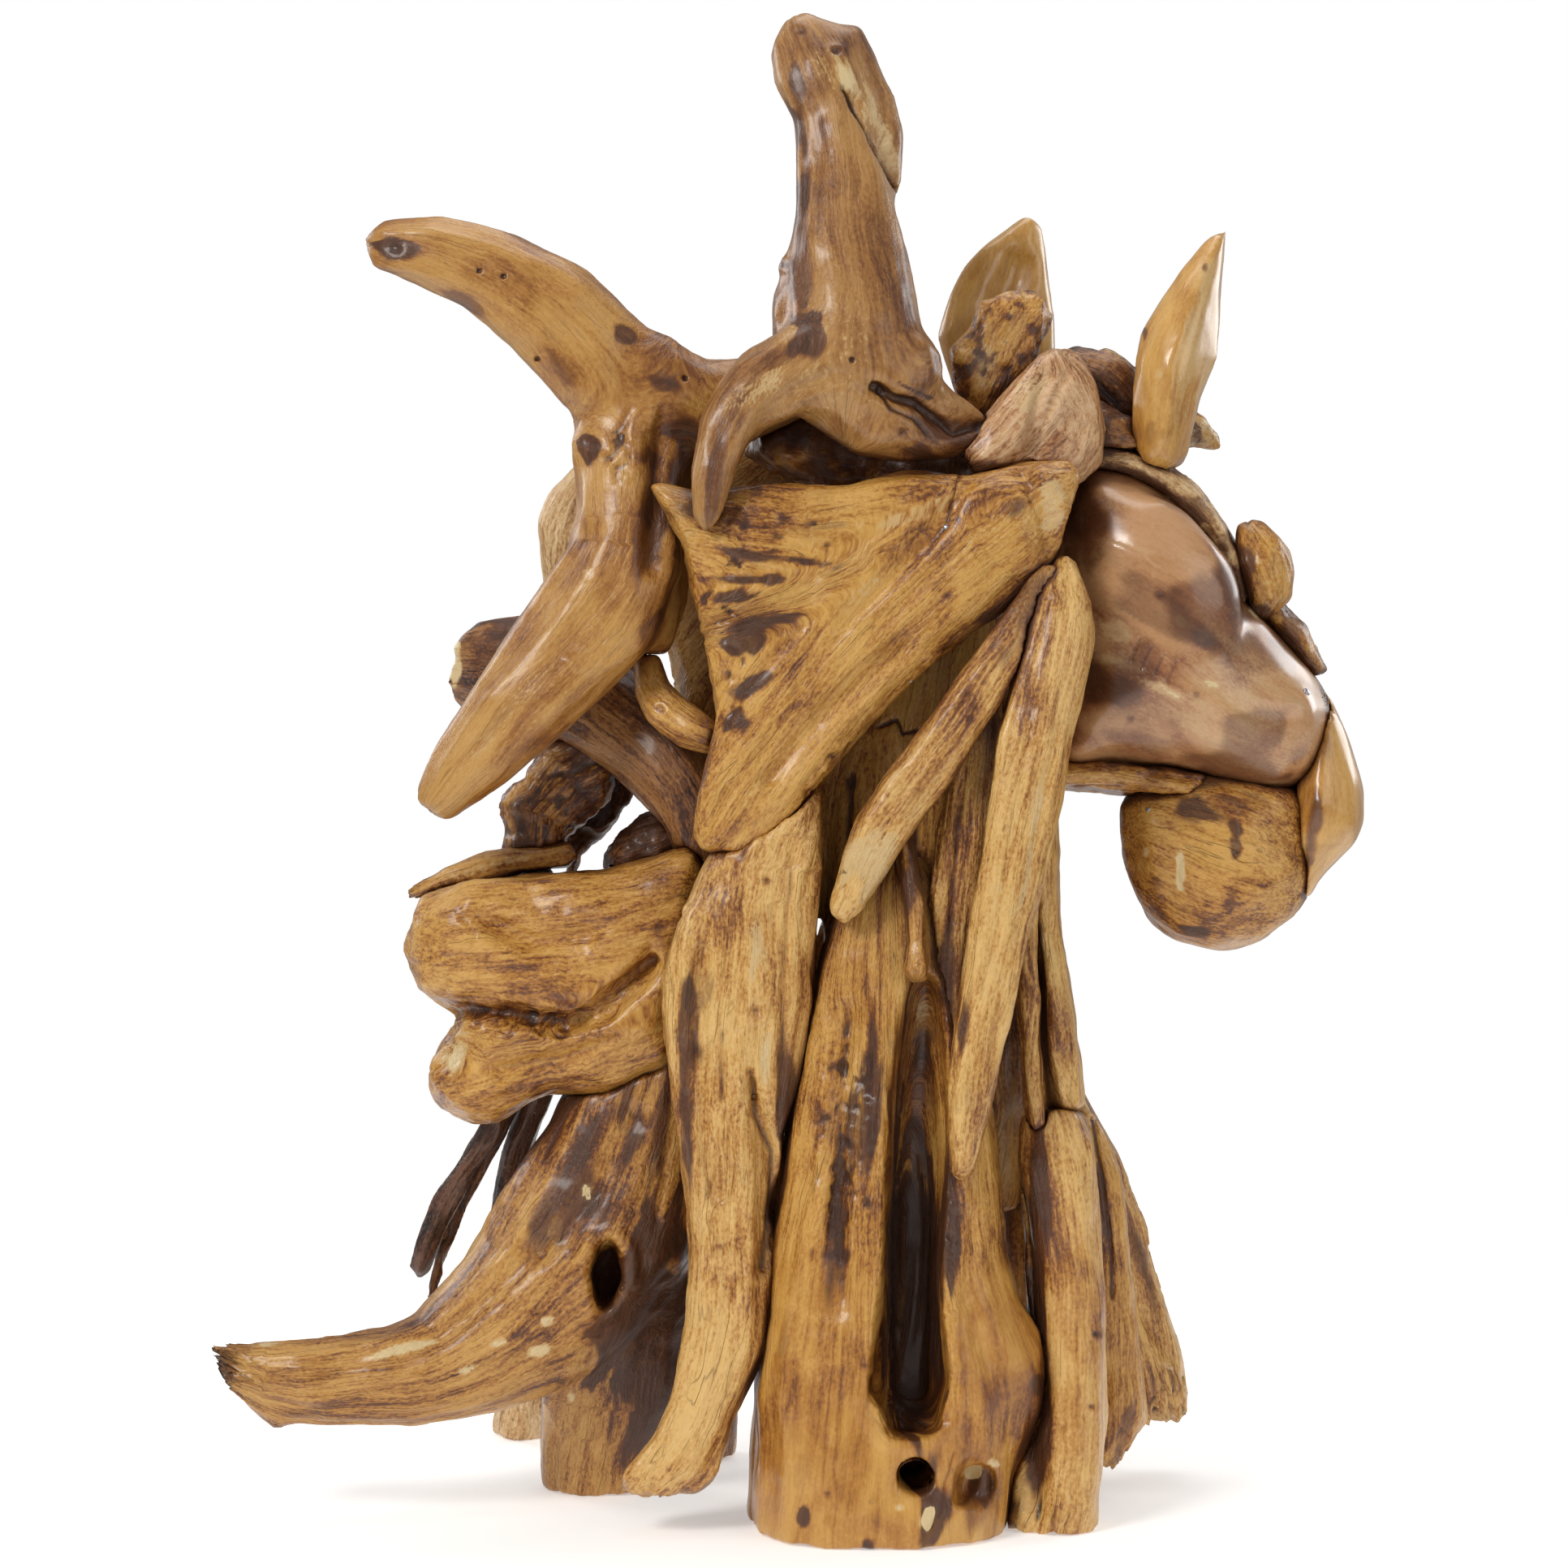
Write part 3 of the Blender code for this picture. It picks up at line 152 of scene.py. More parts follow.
class Wood:
    """A piece of wood on the bench: a finer copy of its solid, with the run of its grain and its marks.

    Places on it are given as columns and rows of the picture, in squares, and heights in millimetres.
    """

    made = 0

    def __init__(self, node, spacing, *grain, board=False, ease=16, crisp=()):
        Wood.made += 1
        self.node, self.seed = node, Wood.made * 31
        bpy.ops.object.select_all(action="DESELECT")
        self.obj = bpy.data.objects.new(node + "_wood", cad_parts[node].data.copy())
        bpy.context.scene.collection.objects.link(self.obj)
        self.obj.select_set(True)
        bpy.context.view_layer.objects.active = self.obj
        bpy.ops.object.mode_set(mode="EDIT")
        bpy.ops.mesh.select_all(action="SELECT")
        bpy.ops.mesh.remove_doubles(threshold=0.00001)
        bpy.ops.object.mode_set(mode="OBJECT")
        skin = self.obj.modifiers.new("fine skin", "REMESH")
        skin.mode = "VOXEL"
        skin.voxel_size = SKIN_SPACING * spacing / 1000 * 1
        bpy.ops.object.modifier_apply(modifier=skin.name)
        self.read_mesh()
        self.ease(ease)
        if len(crisp):
            self.find_picture()
            self.refine(crisp)
            self.read_mesh()
        self.normal = self.facing()
        self.front = np.clip((-self.normal[:, 1] - 0.02) / 0.25, 0, 1)
        self.lift, self.stained, self.bleached, self.crevice, self.rubbed = np.zeros((5, len(self.skin)))
        self.find_picture()
        self.lay_grain(grain, board)

    def read_mesh(self):
        """Reads the mesh into arrays: where its vertices are, and which of them its edges and triangles join."""
        mesh = self.obj.data
        mesh.calc_loop_triangles()
        self.skin = self.numbers(mesh.vertices, "co", 3, float)
        self.edges = self.numbers(mesh.edges, "vertices", 2, np.int32)
        self.corners = self.numbers(mesh.loop_triangles, "vertices", 3, np.int32)

    @staticmethod
    def numbers(items, field, width, kind):
        found = np.empty(len(items) * width, kind)
        items.foreach_get(field, found)
        return found.reshape(-1, width)

    def spread(self, amounts):
        """Each vertex's mean over its neighbours."""
        one, other = self.edges.T
        count = len(self.skin)
        total = np.bincount(one, amounts[other], count) + np.bincount(other, amounts[one], count)
        return total / (np.bincount(one, minlength=count) + np.bincount(other, minlength=count))

    def ease(self, passes):
        """Rubs the solid's flat faces round, and gives back what the piece lost in thickness."""
        before = self.skin.copy()
        for _ in range(passes):
            for share in EASE_SHARES:
                mean = np.stack([self.spread(self.skin[:, axis]) for axis in range(3)], axis=1)
                self.skin += share * (mean - self.skin)
        outward = self.facing()
        self.skin += outward * np.median(((before - self.skin) * outward).sum(1))
        self.obj.data.vertices.foreach_set("co", self.skin.ravel())

    def refine(self, paths):
        """Makes the skin finer round narrow marks, so that they come out sharp."""
        near = np.min([self.away(path) for path in paths], axis=0) < FINE_REACH
        mesh = self.obj.data
        facing = self.facing()[:, 1] < 0.1
        mesh.vertices.foreach_set("select", near & facing)
        mesh.edges.foreach_set("select", (near & facing)[self.edges].all(axis=1))
        mesh.polygons.foreach_set("select", np.zeros(len(mesh.polygons), bool))
        bpy.ops.object.mode_set(mode="EDIT")
        bpy.ops.mesh.select_mode(type="EDGE")
        bpy.ops.mesh.subdivide(number_cuts=1)
        bpy.ops.mesh.select_mode(type="VERT")
        bpy.ops.object.mode_set(mode="OBJECT")

    def facing(self):
        """The way each vertex faces."""
        first, second, third = (self.skin[self.corners[:, k]] for k in range(3))
        across = np.cross(second - first, third - first)
        total = np.zeros_like(self.skin)
        for k in range(3):
            for axis in range(3):
                total[:, axis] += np.bincount(self.corners[:, k], across[:, axis], len(self.skin))
        return total / np.maximum(np.linalg.norm(total, axis=1), 1e-12)[:, None]

    def find_picture(self):
        """Where each vertex shows on the elevation drawing."""
        across, forward, up = ((self.skin - EYE) / SQUARE).T
        level = forward * math.cos(TILT) - up * math.sin(TILT)
        rise = forward * math.sin(TILT) + up * math.cos(TILT)
        self.column = MIDDLE + across * VIEW_DISTANCE / level
        self.row = MIDDLE - rise * VIEW_DISTANCE / level

    def lay_grain(self, lines, board):
        """Lays the grain along the lines. On a root it runs round them, on a board it stays flat."""
        runs = []
        for line in lines:
            along, side, deep, near, way, width = beside(line, self.skin)
            if runs:
                start = np.array([spot(*line[0][:3])])
                along = along + beside(lines[0], start)[0]
            if not board:
                radius = np.maximum(np.hypot(side, deep), 1e-6)
                side, deep = side / radius * width, deep / radius * width
            runs.append((near, np.stack([side, deep, along], axis=1), way))
        nearest = np.min([run[0] for run in runs], axis=0)
        weights = [np.exp((nearest - run[0]) * 5) for run in runs]
        total = np.sum(weights, axis=0)[:, None]
        self.grain = sum(run[1] * weight[:, None] for run, weight in zip(runs, weights)) / total
        self.way = sum(run[2] * weight[:, None] for run, weight in zip(runs, weights)) / total

    def fibre(self, across, along, shift=0, octaves=2):
        """Noise drawn out along the grain, so many millimetres across and along it."""
        size = np.array([across, across, along]) / 1000
        return rough(self.grain / size, self.seed + shift, octaves)

    def lumps(self, size, shift=0, octaves=3):
        return rough(self.skin * 1000 / size, self.seed + shift + 900, octaves)

    def weather(self, flutes=1.6, lines=0.8, dents=1.0, splits=2.0, share=0.3):
        """Old root's skin: long flutes, finer lines, dents, and splits that open along the grain."""
        flute = self.fibre(26, 230, 1)
        line = self.fibre(11, 130, 2)
        band = np.clip(1 - np.abs(self.fibre(21, 210, 3, 1)) / 0.2, 0, 1)
        patch = np.clip((self.fibre(60, 160, 4) + share - 0.4) * 4, 0, 1)
        self.lift += flutes * flute + lines * line + dents * self.lumps(38) - splits * band * patch
        self.lift += 0.3 * self.fibre(7, 40, 7)
        # Painted shade: faces that turn away from the front, where the lamps stand, are darkened in colour.
        self.stained += 0.22 * np.clip((self.normal[:, 1] + 0.6) / 0.5, 0, 1)
        self.crevice += 0.6 * band**2 * patch + np.clip(-flute - 0.5, 0, 1) * 0.5
        self.stained += np.clip(self.lumps(120, 5) * 0.8 - 0.2, 0, 0.35) + np.clip(-flute - 0.2, 0, 1) * 0.4
        self.bleached += np.clip(self.fibre(50, 260, 6) * 0.9 - 0.25, 0, 0.4)

    def gather_dirt_and_shade(self):
        """Darkens the wood where neighbouring pieces lie near it: dirt and old varnish right at the joints, and
        painted shade where it lies deep between them.
        """
        places, faces = [], []
        for name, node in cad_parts.items():
            if name != self.node:
                start = len(places)
                places += [vertex.co for vertex in node.data.vertices]
                faces += [[start + corner for corner in face.vertices] for face in node.data.polygons]
        others = BVHTree.FromPolygons(places, faces)
        side = np.cross(self.normal, ASKEW)
        side /= np.maximum(np.linalg.norm(side, axis=1), 1e-6)[:, None]
        other = np.cross(self.normal, side)
        covered = np.zeros(len(self.skin))
        starts = (self.skin + self.normal * 0.001).tolist()
        for out, right, up in DIRT_AND_SHADE_RAYS:
            rays = (self.normal * out + side * right + other * up).tolist()
            for index, (start, ray) in enumerate(zip(starts, rays)):
                reach = others.ray_cast(start, ray, DIRT_AND_SHADE_REACH)[3]
                if reach is not None:
                    covered[index] += (1 - reach / DIRT_AND_SHADE_REACH) / len(DIRT_AND_SHADE_RAYS)
        for _ in range(3):
            covered = 0.5 * covered + 0.5 * self.spread(covered)
        # Painted shade: the share of rays that meet a neighbour darkens the colour as occlusion would, and darkens
        # the crevices where the wood is well covered.
        self.stained += 0.9 * covered
        self.crevice += np.clip(covered - 0.45, 0, 1) * 1.2

    def away(self, path):
        """How far each vertex shows from a path on the picture, in squares."""
        path = np.array(path, float)
        here = np.stack([self.column, self.row], axis=1)
        if len(path) == 1:
            return np.linalg.norm(here - path[0], axis=1)
        nearest = np.full(len(here), np.inf)
        for start, end in zip(path, path[1:]):
            run = end - start
            share = np.clip((here - start) @ run / (run @ run), 0, 1)
            nearest = np.minimum(nearest, np.linalg.norm(here - start - share[:, None] * run, axis=1))
        return nearest

    def oval(self, column, row, half_width, half_height, turn=0):
        """A distance that is 0 at the middle of an oval on the picture and 1 on its edge."""
        right, down = self.column - column, self.row - row
        lean = math.radians(turn)
        wide = right * math.cos(lean) + down * math.sin(lean)
        tall = down * math.cos(lean) - right * math.sin(lean)
        return np.hypot(wide / half_width, tall / half_height)

    def groove(self, path, width, depth, dark=0.8):
        """A split or fold along a path, so many squares wide and millimetres deep."""
        edge = 1 + 0.35 * self.lumps(14, 11, 2)
        inside = np.clip(1 - self.away(path) / (width * edge), 0, 1) * (self.front > 0)
        self.lift -= depth * inside**0.8
        self.crevice += dark * inside

    def ridge(self, path, width, height):
        """A raised rib along a path."""
        inside = np.clip(1 - (self.away(path) / width) ** 2, 0, 1) * self.front
        self.lift += height * inside**2

    def knot(self, column, row, size, height=2.0, pit=2.5, dark=0.8):
        """A knot: a raised ring of grain round a sunken heart."""
        reach = self.oval(column, row, size, size * 0.8, 20) * (1 + 0.12 * self.lumps(16, 12, 2))
        ring = np.exp(-(((reach - 0.85) / 0.4) ** 2))
        heart = np.exp(-((reach / 0.45) ** 2))
        self.lift += self.front * (height * ring - pit * heart)
        self.stained += self.front * dark * np.exp(-((reach / 0.8) ** 2))
        self.crevice += self.front * 0.7 * heart

    def hole(self, column, row, radius, depth, squash=1.0, turn=0, dark=1.0):
        """A hole let straight into the front, with a soft lip."""
        reach = self.oval(column, row, radius, radius * squash, turn) * (1 + 0.08 * self.lumps(16, 13, 2))
        inside = np.clip((1.1 - reach) / 0.3, 0, 1) * (self.front > 0)
        self.skin[:, 1] += inside * depth / 1000
        # painted shade inside the hole
        self.crevice += dark * np.clip((1.05 - reach) / 0.3, 0, 1) * (self.front > 0)

    def stain(self, column, row, half_width, half_height, amount=1.0, turn=0, deep=False):
        """A dark stain with a ragged edge, drawn out along the grain. A deep one also lines a hollow's walls."""
        edge = self.oval(column, row, half_width, half_height, turn) + 0.7 * self.fibre(16, 80, 14, 3)
        seen = self.skin[:, 1] < np.quantile(self.skin[:, 1], 0.7) if deep else self.front > 0
        self.stained += amount * np.clip((1.15 - edge) * 1.6, 0, 1) * seen

    def darken(self, column, row, half_width, half_height, amount):
        """Painted shade on the walls of a hollow, deeper in than the skin round it."""
        inside = np.clip((1.15 - self.oval(column, row, half_width, half_height)) * 3, 0, 1)
        face = np.quantile(self.skin[inside > 0.5, 1], 0.05)
        below = np.clip((self.skin[:, 1] - face - 0.018) / 0.02, 0, 1) * (self.skin[:, 1] < face + 0.2)
        self.crevice += amount * inside * below

    def rub(self, column, row, half_width, half_height, amount=1.0):
        """A part that hands and sandpaper have rubbed smooth."""
        inside = np.clip((1.25 - self.oval(column, row, half_width, half_height)) * 2, 0, 1)
        self.rubbed = np.maximum(self.rubbed, amount * inside)

    def surface(self, column, row):
        """The place and facing of the worked skin where the picture shows this column and row."""
        reach = np.hypot(self.column - column, self.row - row) + 50 * (self.front < 0.5)
        index = reach.argmin()
        return self.skin[index], self.normal[index]

    def bleach(self, column, row, half_width, half_height, amount=1.0, turn=0):
        """A pale patch: where weather or filler has left the wood pale, and on the head and the near ear a painted
        highlight.
        """
        edge = self.oval(column, row, half_width, half_height, turn) + 0.6 * self.fibre(14, 60, 15, 3)
        self.bleached += amount * np.clip((1.15 - edge) * 1.8, 0, 1) * (self.front > 0)

    def bark(self, column, row, half_width, half_height, height=2.5, size=9, turn=0):
        """A rough patch where the outer wood is left on in crumbs."""
        inside = np.clip((1.15 - self.oval(column, row, half_width, half_height, turn)) * 2.5, 0, 1) * self.front
        crumbs = self.lumps(size, 16, 3) + 0.6 * self.fibre(size * 0.8, size * 5, 17)
        self.lift += inside * height * crumbs
        self.crevice += inside * np.clip(-crumbs * 1.1, 0, 0.9)

    def fray(self, column, row, radius, length, size=5):
        """Broken ends of fibre, longer and shorter along the grain."""
        inside = np.clip((1.2 - self.oval(column, row, radius, radius)) * 2, 0, 1)
        torn = rough(self.grain / (np.array([size, size, 400.0]) / 1000), self.seed + 40, 2)
        self.skin += self.way * (inside * torn * length / 1000)[:, None]
        self.crevice += inside * np.clip(-torn, 0, 0.8)

    def set_down(self, finish):
        """Puts the worked skin back on the mesh, inside the solid model's box, and gives it its finish."""
        # dirt at the joints and painted shade between the pieces
        self.gather_dirt_and_shade()
        self.skin += self.normal * (self.lift / 1000)[:, None]
        self.skin = np.clip(self.skin, CAD_BOX[0], CAD_BOX[1])
        mesh = self.obj.data
        mesh.vertices.foreach_set("co", self.skin.ravel())
        marks = np.stack([self.stained, self.bleached, self.crevice], axis=1)
        for name, amounts in (("grain", self.grain), ("marks", np.clip(marks, 0, 1.8))):
            layer = mesh.attributes.new(name, "FLOAT_VECTOR", "POINT")
            layer.data.foreach_set("vector", np.ascontiguousarray(amounts, np.float32).ravel())
        layer = mesh.attributes.new("rubbed", "FLOAT", "POINT")
        layer.data.foreach_set("value", self.rubbed.astype(np.float32))
        mesh.materials.clear()
        mesh.materials.append(finish)
        bpy.ops.object.select_all(action="DESELECT")
        self.obj.select_set(True)
        bpy.context.view_layer.objects.active = self.obj
        bpy.ops.object.shade_smooth()
        mesh.update()
        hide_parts(self.node)
        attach(self.obj, "root")


class Value:
    """A number that changes over the surface, so that a finish's maths reads as plain expressions."""

    def __init__(self, tree, socket):
        self.tree, self.socket = tree, socket

    def worked(self, operation, first, second=0.0):
        maths = self.tree.nodes.new("ShaderNodeMath")
        maths.operation = operation
        for slot, term in zip(maths.inputs, (first, second)):
            if isinstance(term, Value):
                self.tree.links.new(term.socket, slot)
            else:
                slot.default_value = term
        return Value(self.tree, maths.outputs[0])

    def __add__(self, other):
        return self.worked("ADD", self, other)

    __radd__ = __add__

    def __sub__(self, other):
        return self.worked("SUBTRACT", self, other)

    def __rsub__(self, other):
        return self.worked("SUBTRACT", other, self)

    def __mul__(self, other):
        return self.worked("MULTIPLY", self, other)

    def __truediv__(self, other):
        return self.worked("DIVIDE", self, other)

    def size(self):
        """The number without its sign."""
        return self.worked("ABSOLUTE", self)

    def most(self, other):
        """The larger of two numbers."""
        return self.worked("MAXIMUM", self, other)

    def held(self):
        """The number kept between 0 and 1."""
        return self.worked("MINIMUM", self.most(0.0), 1.0)


class Finish:
    """A finish being mixed: a material whose nodes are added one by one."""

    def __init__(self, name):
        self.material = bpy.data.materials.new(name)
        self.material.use_nodes = True
        self.tree = self.material.node_tree
        self.shader = self.tree.nodes["Principled BSDF"]

    def node(self, kind, output, settings=(), stops=(), **inputs):
        """Adds a node with its settings, fills its sockets with values or links, and gives one output.

        A colour ramp comes with a stop at each end, so only the stops between them are added.
        """
        made = self.tree.nodes.new("ShaderNode" + kind)
        for name, setting in dict(settings).items():
            setattr(made, name, setting)
        for place, colour in stops:
            if place in (0, 1):
                stop = made.color_ramp.elements[-int(place)]
            else:
                stop = made.color_ramp.elements.new(place)
            stop.color = (*colour, 1)
        for socket in made.inputs:
            given = inputs.get(socket.identifier, inputs.get(socket.name))
            if isinstance(given, Value):
                self.tree.links.new(given.socket, socket)
            elif given is not None:
                socket.default_value = given
        found = [s for s in made.outputs if output in (s.identifier, s.name)]
        return Value(self.tree, found[0])

    def attribute(self, name):
        return self.node("Attribute", "Vector", {"attribute_name": name})

    def scaled(self, vector, *sizes):
        return self.node("VectorMath", "Vector", {"operation": "MULTIPLY"}, Vector=vector, Vector_001=sizes)

    def noise(self, vector, detail=3.0, coarse=0.55, swirl=0.0):
        return self.node("TexNoise", "Fac", Vector=vector, Scale=1.0, Detail=detail, Roughness=coarse,
                         Distortion=swirl)

    def blend(self, share, first, second):
        return self.node("Mix", "Result_Color", {"data_type": "RGBA"}, Factor_Float=share, A_Color=first,
                         B_Color=second)

    def feed(self, socket, value):
        self.tree.links.new(value.socket, self.shader.inputs[socket])


# How often each figure of the wood repeats in a metre: twice across the grain, then along it.
SWIRLS, CLOUDS, RINGS, STREAKS = (16, 16, 8), (15, 15, 9), (34, 34, 4.2), (85, 85, 6.5)
FIBRES, GRIT, FLECKS, SPLITS = (330, 330, 24), (420, 420, 230), (150, 150, 60), (58, 58, 3.4)
FILLER = (0.66, 0.50, 0.26, 1)


def teak(name, dark, middle, light, stain=(0.060, 0.023, 0.009), bleach=(0.60, 0.42, 0.20), gloss=0.38, coat=0.3,
         relief=1.0, figure=1.0, flecks=1.0, edge=1.0):
    """Old teak under varnish: streaks and fibres along the grain, clouds, flecks, stains, pale patches, dirt in
    splits, and painted shade and highlights carried in the marks.
    """
    mix = Finish(name)
    grain = mix.attribute("grain")
    marks = mix.attribute("marks")
    rough_part = 1.0 - mix.node("Attribute", "Fac", {"attribute_name": "rubbed"}) * 0.65
    stained = mix.node("SeparateXYZ", "X", Vector=marks)
    bleached = mix.node("SeparateXYZ", "Y", Vector=marks)
    crevice = mix.node("SeparateXYZ", "Z", Vector=marks)
    swirl = mix.node("TexNoise", "Color", Vector=mix.scaled(grain, *SWIRLS), Scale=1.0, Detail=2.0)
    bent = mix.node("VectorMath", "Vector", {"operation": "MULTIPLY_ADD"}, Vector=swirl,
                    Vector_001=(0.018, 0.018, 0.0), Vector_002=grain)
    cloud = mix.noise(mix.scaled(bent, *CLOUDS), 3, 0.55, 0.6) - 0.5
    ring = mix.noise(mix.scaled(bent, *RINGS), 2, 0.5, 0.5) - 0.5
    ring = (1.0 - ring.size() * 16.0).held()
    streak = (mix.noise(mix.scaled(bent, *STREAKS), 4, 0.62) - 0.5) * rough_part
    fibre = (mix.noise(mix.scaled(bent, *FIBRES), 3, 0.62) - 0.5) * rough_part
    grit = (mix.noise(mix.scaled(grain, *GRIT), 2, 0.6) - 0.5) * rough_part
    fleck = mix.noise(mix.scaled(bent, *FLECKS), 2, 0.5)
    split = mix.noise(mix.scaled(bent, *SPLITS), 2, 0.45) - 0.5
    split = (1.0 - split.size() * 110.0).held() * (cloud * rough_part * 8.0).held()
    tone = 0.71 + cloud * 1.6 - ring * 0.16 * figure + (streak + fibre * 1.2 + grit) * figure
    tone = (tone + bleached * 0.2 - stained * 0.34 - crevice * 0.25).held()
    deepest = tuple(c * k for c, k in zip(dark, (0.42, 0.36, 0.34)))
    palest = tuple(min(0.85, c * k) for c, k in zip(light, (1.14, 1.22, 1.4)))
    colour = mix.node("ValToRGB", "Color",
                      stops=[(0, deepest), (0.26, dark), (0.5, middle), (0.76, light), (1, palest)], Fac=tone)
    # The pale mark holds bleached wood and filler, and the painted highlights on the head and the near ear.
    pale = (((bleached - 0.55 + streak * 1.2 + grit * 1.4) * 3.0 - 0.5) * edge + 0.5).held() * 0.7
    colour = mix.blend(pale, colour, (*bleach, 1))
    # The stain mark holds real stains and also painted shade: faces turned away from the lamps and wood lying deep
    # between neighbouring pieces.
    wash = ((stained - 0.38 + cloud * 1.3 + streak * 0.8) * 1.5).held() * 0.5
    colour = mix.blend(wash, colour, (stain[0] * 2.9, stain[1] * 2.2, stain[2] * 1.5, 1))
    deep = (((stained - 0.60 + cloud * 0.9 + streak * 1.1 + fibre * 0.8) * 2.6 - 0.5) * edge + 0.5).held()
    ink = mix.node("ValToRGB", "Color", stops=[(0, tuple(c * 0.5 for c in stain)), (0.45, stain),
                                              (1, (stain[0] * 2.4, stain[1] * 2.1, stain[2] * 1.9))],
                   Fac=(0.5 + fibre * 1.6 + streak).held())
    colour = mix.blend(deep * 0.86, colour, ink)
    specks = ((fleck - 0.70) * 12.0).held() * 0.4 * flecks
    # The crevice mark is dirt in splits and torn grain, and painted shade inside holes and hollows and between
    # neighbouring pieces.
    dirt_and_shade = ((crevice - 0.50 + fibre + grit * 0.6) * 2.2).held()
    dirt_and_shade = dirt_and_shade.most(split * (0.42 * figure)).most(specks) * 0.9
    colour = mix.blend(dirt_and_shade, colour, (stain[0] * 0.75, stain[1] * 0.62, stain[2] * 0.5, 1))
    filler = ((bleached - 1.0 + grit * 0.6) * 6.0).held()
    colour = mix.blend(filler, colour, FILLER)
    mix.feed("Base Color", colour)
    mix.feed("Roughness", (gloss + grit * (0.18 * edge) + (dirt_and_shade * 0.12 + deep * 0.05) * edge).held())
    height = streak * 0.25 + fibre * 0.4 + grit * 0.24 - split * 0.2 - specks * 0.12
    bump = mix.node("Bump", "Normal", Height=height, Strength=1.0, Distance=0.0042 * relief)
    mix.feed("Normal", bump)
    mix.shader.inputs["Coat Weight"].default_value = coat
    mix.shader.inputs["Coat Roughness"].default_value = 0.2
    mix.shader.inputs["Specular IOR Level"].default_value = 0.4
    return mix.material


golden = teak("golden_teak", (0.185, 0.060, 0.012), (0.40, 0.168, 0.026), (0.545, 0.282, 0.060))
worn = teak("worn_golden_teak", (0.175, 0.058, 0.012), (0.330, 0.136, 0.026), (0.465, 0.236, 0.058), relief=0.6,
            figure=0.6, flecks=1.2)
horn = teak("worn_brown_teak", (0.130, 0.045, 0.012), (0.262, 0.110, 0.028), (0.39, 0.195, 0.056), relief=0.5,
            figure=0.6)
rosy = teak("rosy_teak", (0.22, 0.085, 0.030), (0.42, 0.205, 0.085), (0.58, 0.35, 0.175), relief=0.8)
honey = teak("honey_teak", (0.24, 0.085, 0.020), (0.475, 0.225, 0.050), (0.64, 0.375, 0.115), relief=1.2)
brown = teak("brown_teak", (0.055, 0.018, 0.007), (0.150, 0.052, 0.014), (0.30, 0.130, 0.036), gloss=0.42)
scraped = teak("scraped_brown_teak", (0.125, 0.038, 0.010), (0.340, 0.138, 0.024), (0.50, 0.255, 0.058), gloss=0.42)
dark = teak("dark_teak", (0.022, 0.009, 0.006), (0.070, 0.028, 0.014), (0.15, 0.066, 0.034))
pale = teak("pale_teak", (0.27, 0.125, 0.045), (0.49, 0.285, 0.115), (0.66, 0.46, 0.24), gloss=0.5, coat=0.1)
polished = teak("polished_teak", (0.150, 0.048, 0.018), (0.300, 0.118, 0.045), (0.47, 0.240, 0.100), gloss=0.36,
                coat=0.8, relief=0.03, figure=0.35, flecks=0.1, edge=0.3)
amber = teak("amber_teak", (0.30, 0.115, 0.020), (0.46, 0.215, 0.040), (0.60, 0.33, 0.085), gloss=0.36, coat=0.8,
             relief=0.08, figure=0.4, flecks=0.3, edge=0.4)

slot_rim = [(109.6, 136), (108.8, 150), (108.6, 164), (107.8, 173), (110, 175.8), (114.6, 175.6), (117, 170),
            (116.6, 152)]
burl_edge = [(117.6, 179), (116.6, 182.4), (115.8, 186.4), (113.2, 190.2)]
peg_hole = [(110.9, 181.9), (112.8, 183.8), (114.7, 181.9), (112.8, 180.0), (110.9, 181.9)]
trunk = Wood(
    "hollow_trunk", 2.8,
    [(109.5, 108, -10, 5.6), (109.6, 130, -11, 11.4), (109.6, 143, -11, 13.3), (109.3, 156, -10.5, 14.8),
     (109.6, 168, -9.5, 16.6), (107.8, 192, -8.6, 15.2)],
    ease=26, crisp=[slot_rim, burl_edge, peg_hole, [(120, 182)]],
)
trunk.weather(flutes=1.7, lines=0.7, splits=1.6, share=0.1)
each(trunk.rub, (108, 184, 18, 15), (123, 166, 6, 10), (100, 166, 8, 12, 0.7))
trunk.hole(112.8, 181.9, 2.1, 40, dark=0.8)
trunk.hole(120.4, 183.2, 2.3, 16, squash=1.15, turn=25, dark=0.5)
trunk.ridge([(117.2, 185.6), (117.0, 181.4), (118.8, 179.2), (121.6, 179.4)], 0.8, 1.4)
each(trunk.groove,
    (burl_edge, 0.34, 1.6, 0.7),
    ([(107.6, 170), (107.4, 174), (109.6, 176.4), (113, 176.6), (116.6, 175)], 0.9, 2.5, 0.3),
)
trunk.ridge([(106.6, 168), (106.2, 174), (109, 178), (114, 178.4), (118.4, 175), (118.6, 168)], 1.0, 2)
trunk.stain(112.6, 158, 4.2, 20, 1.4, deep=True)
trunk.stain(112.6, 140, 4.2, 20, 0.5, deep=True)
# painted shade deep inside the slot
trunk.darken(112.4, 160, 3.8, 18, 0.9)
each(trunk.stain, (120.8, 184.4, 3.4, 4.4, 0.55), (120.8, 183.6, 1.6, 1.8, 1.0), (115.4, 187.6, 1.4, 4.0, 0.8, 24))
each(trunk.bleach,
    (120.0, 181.6, 1.1, 1.2, 1.6), (122.6, 180.4, 0.9, 0.5, 1.2, 20), (114.5, 187.0, 1.0, 1.7, 1.6, 20),
    (110.9, 185.8, 0.8, 0.7, 1.2), (112.4, 183.4, 1.3, 0.6, 1.2), (112.9, 123.8, 1.7, 3.4, 0.6),
)
for column, row in ((102.0, 184), (104.6, 186.6), (106.8, 190.4), (99.0, 187), (128, 170.6)):
    trunk.stain(column, row, 0.7, 1.0, 1.0)
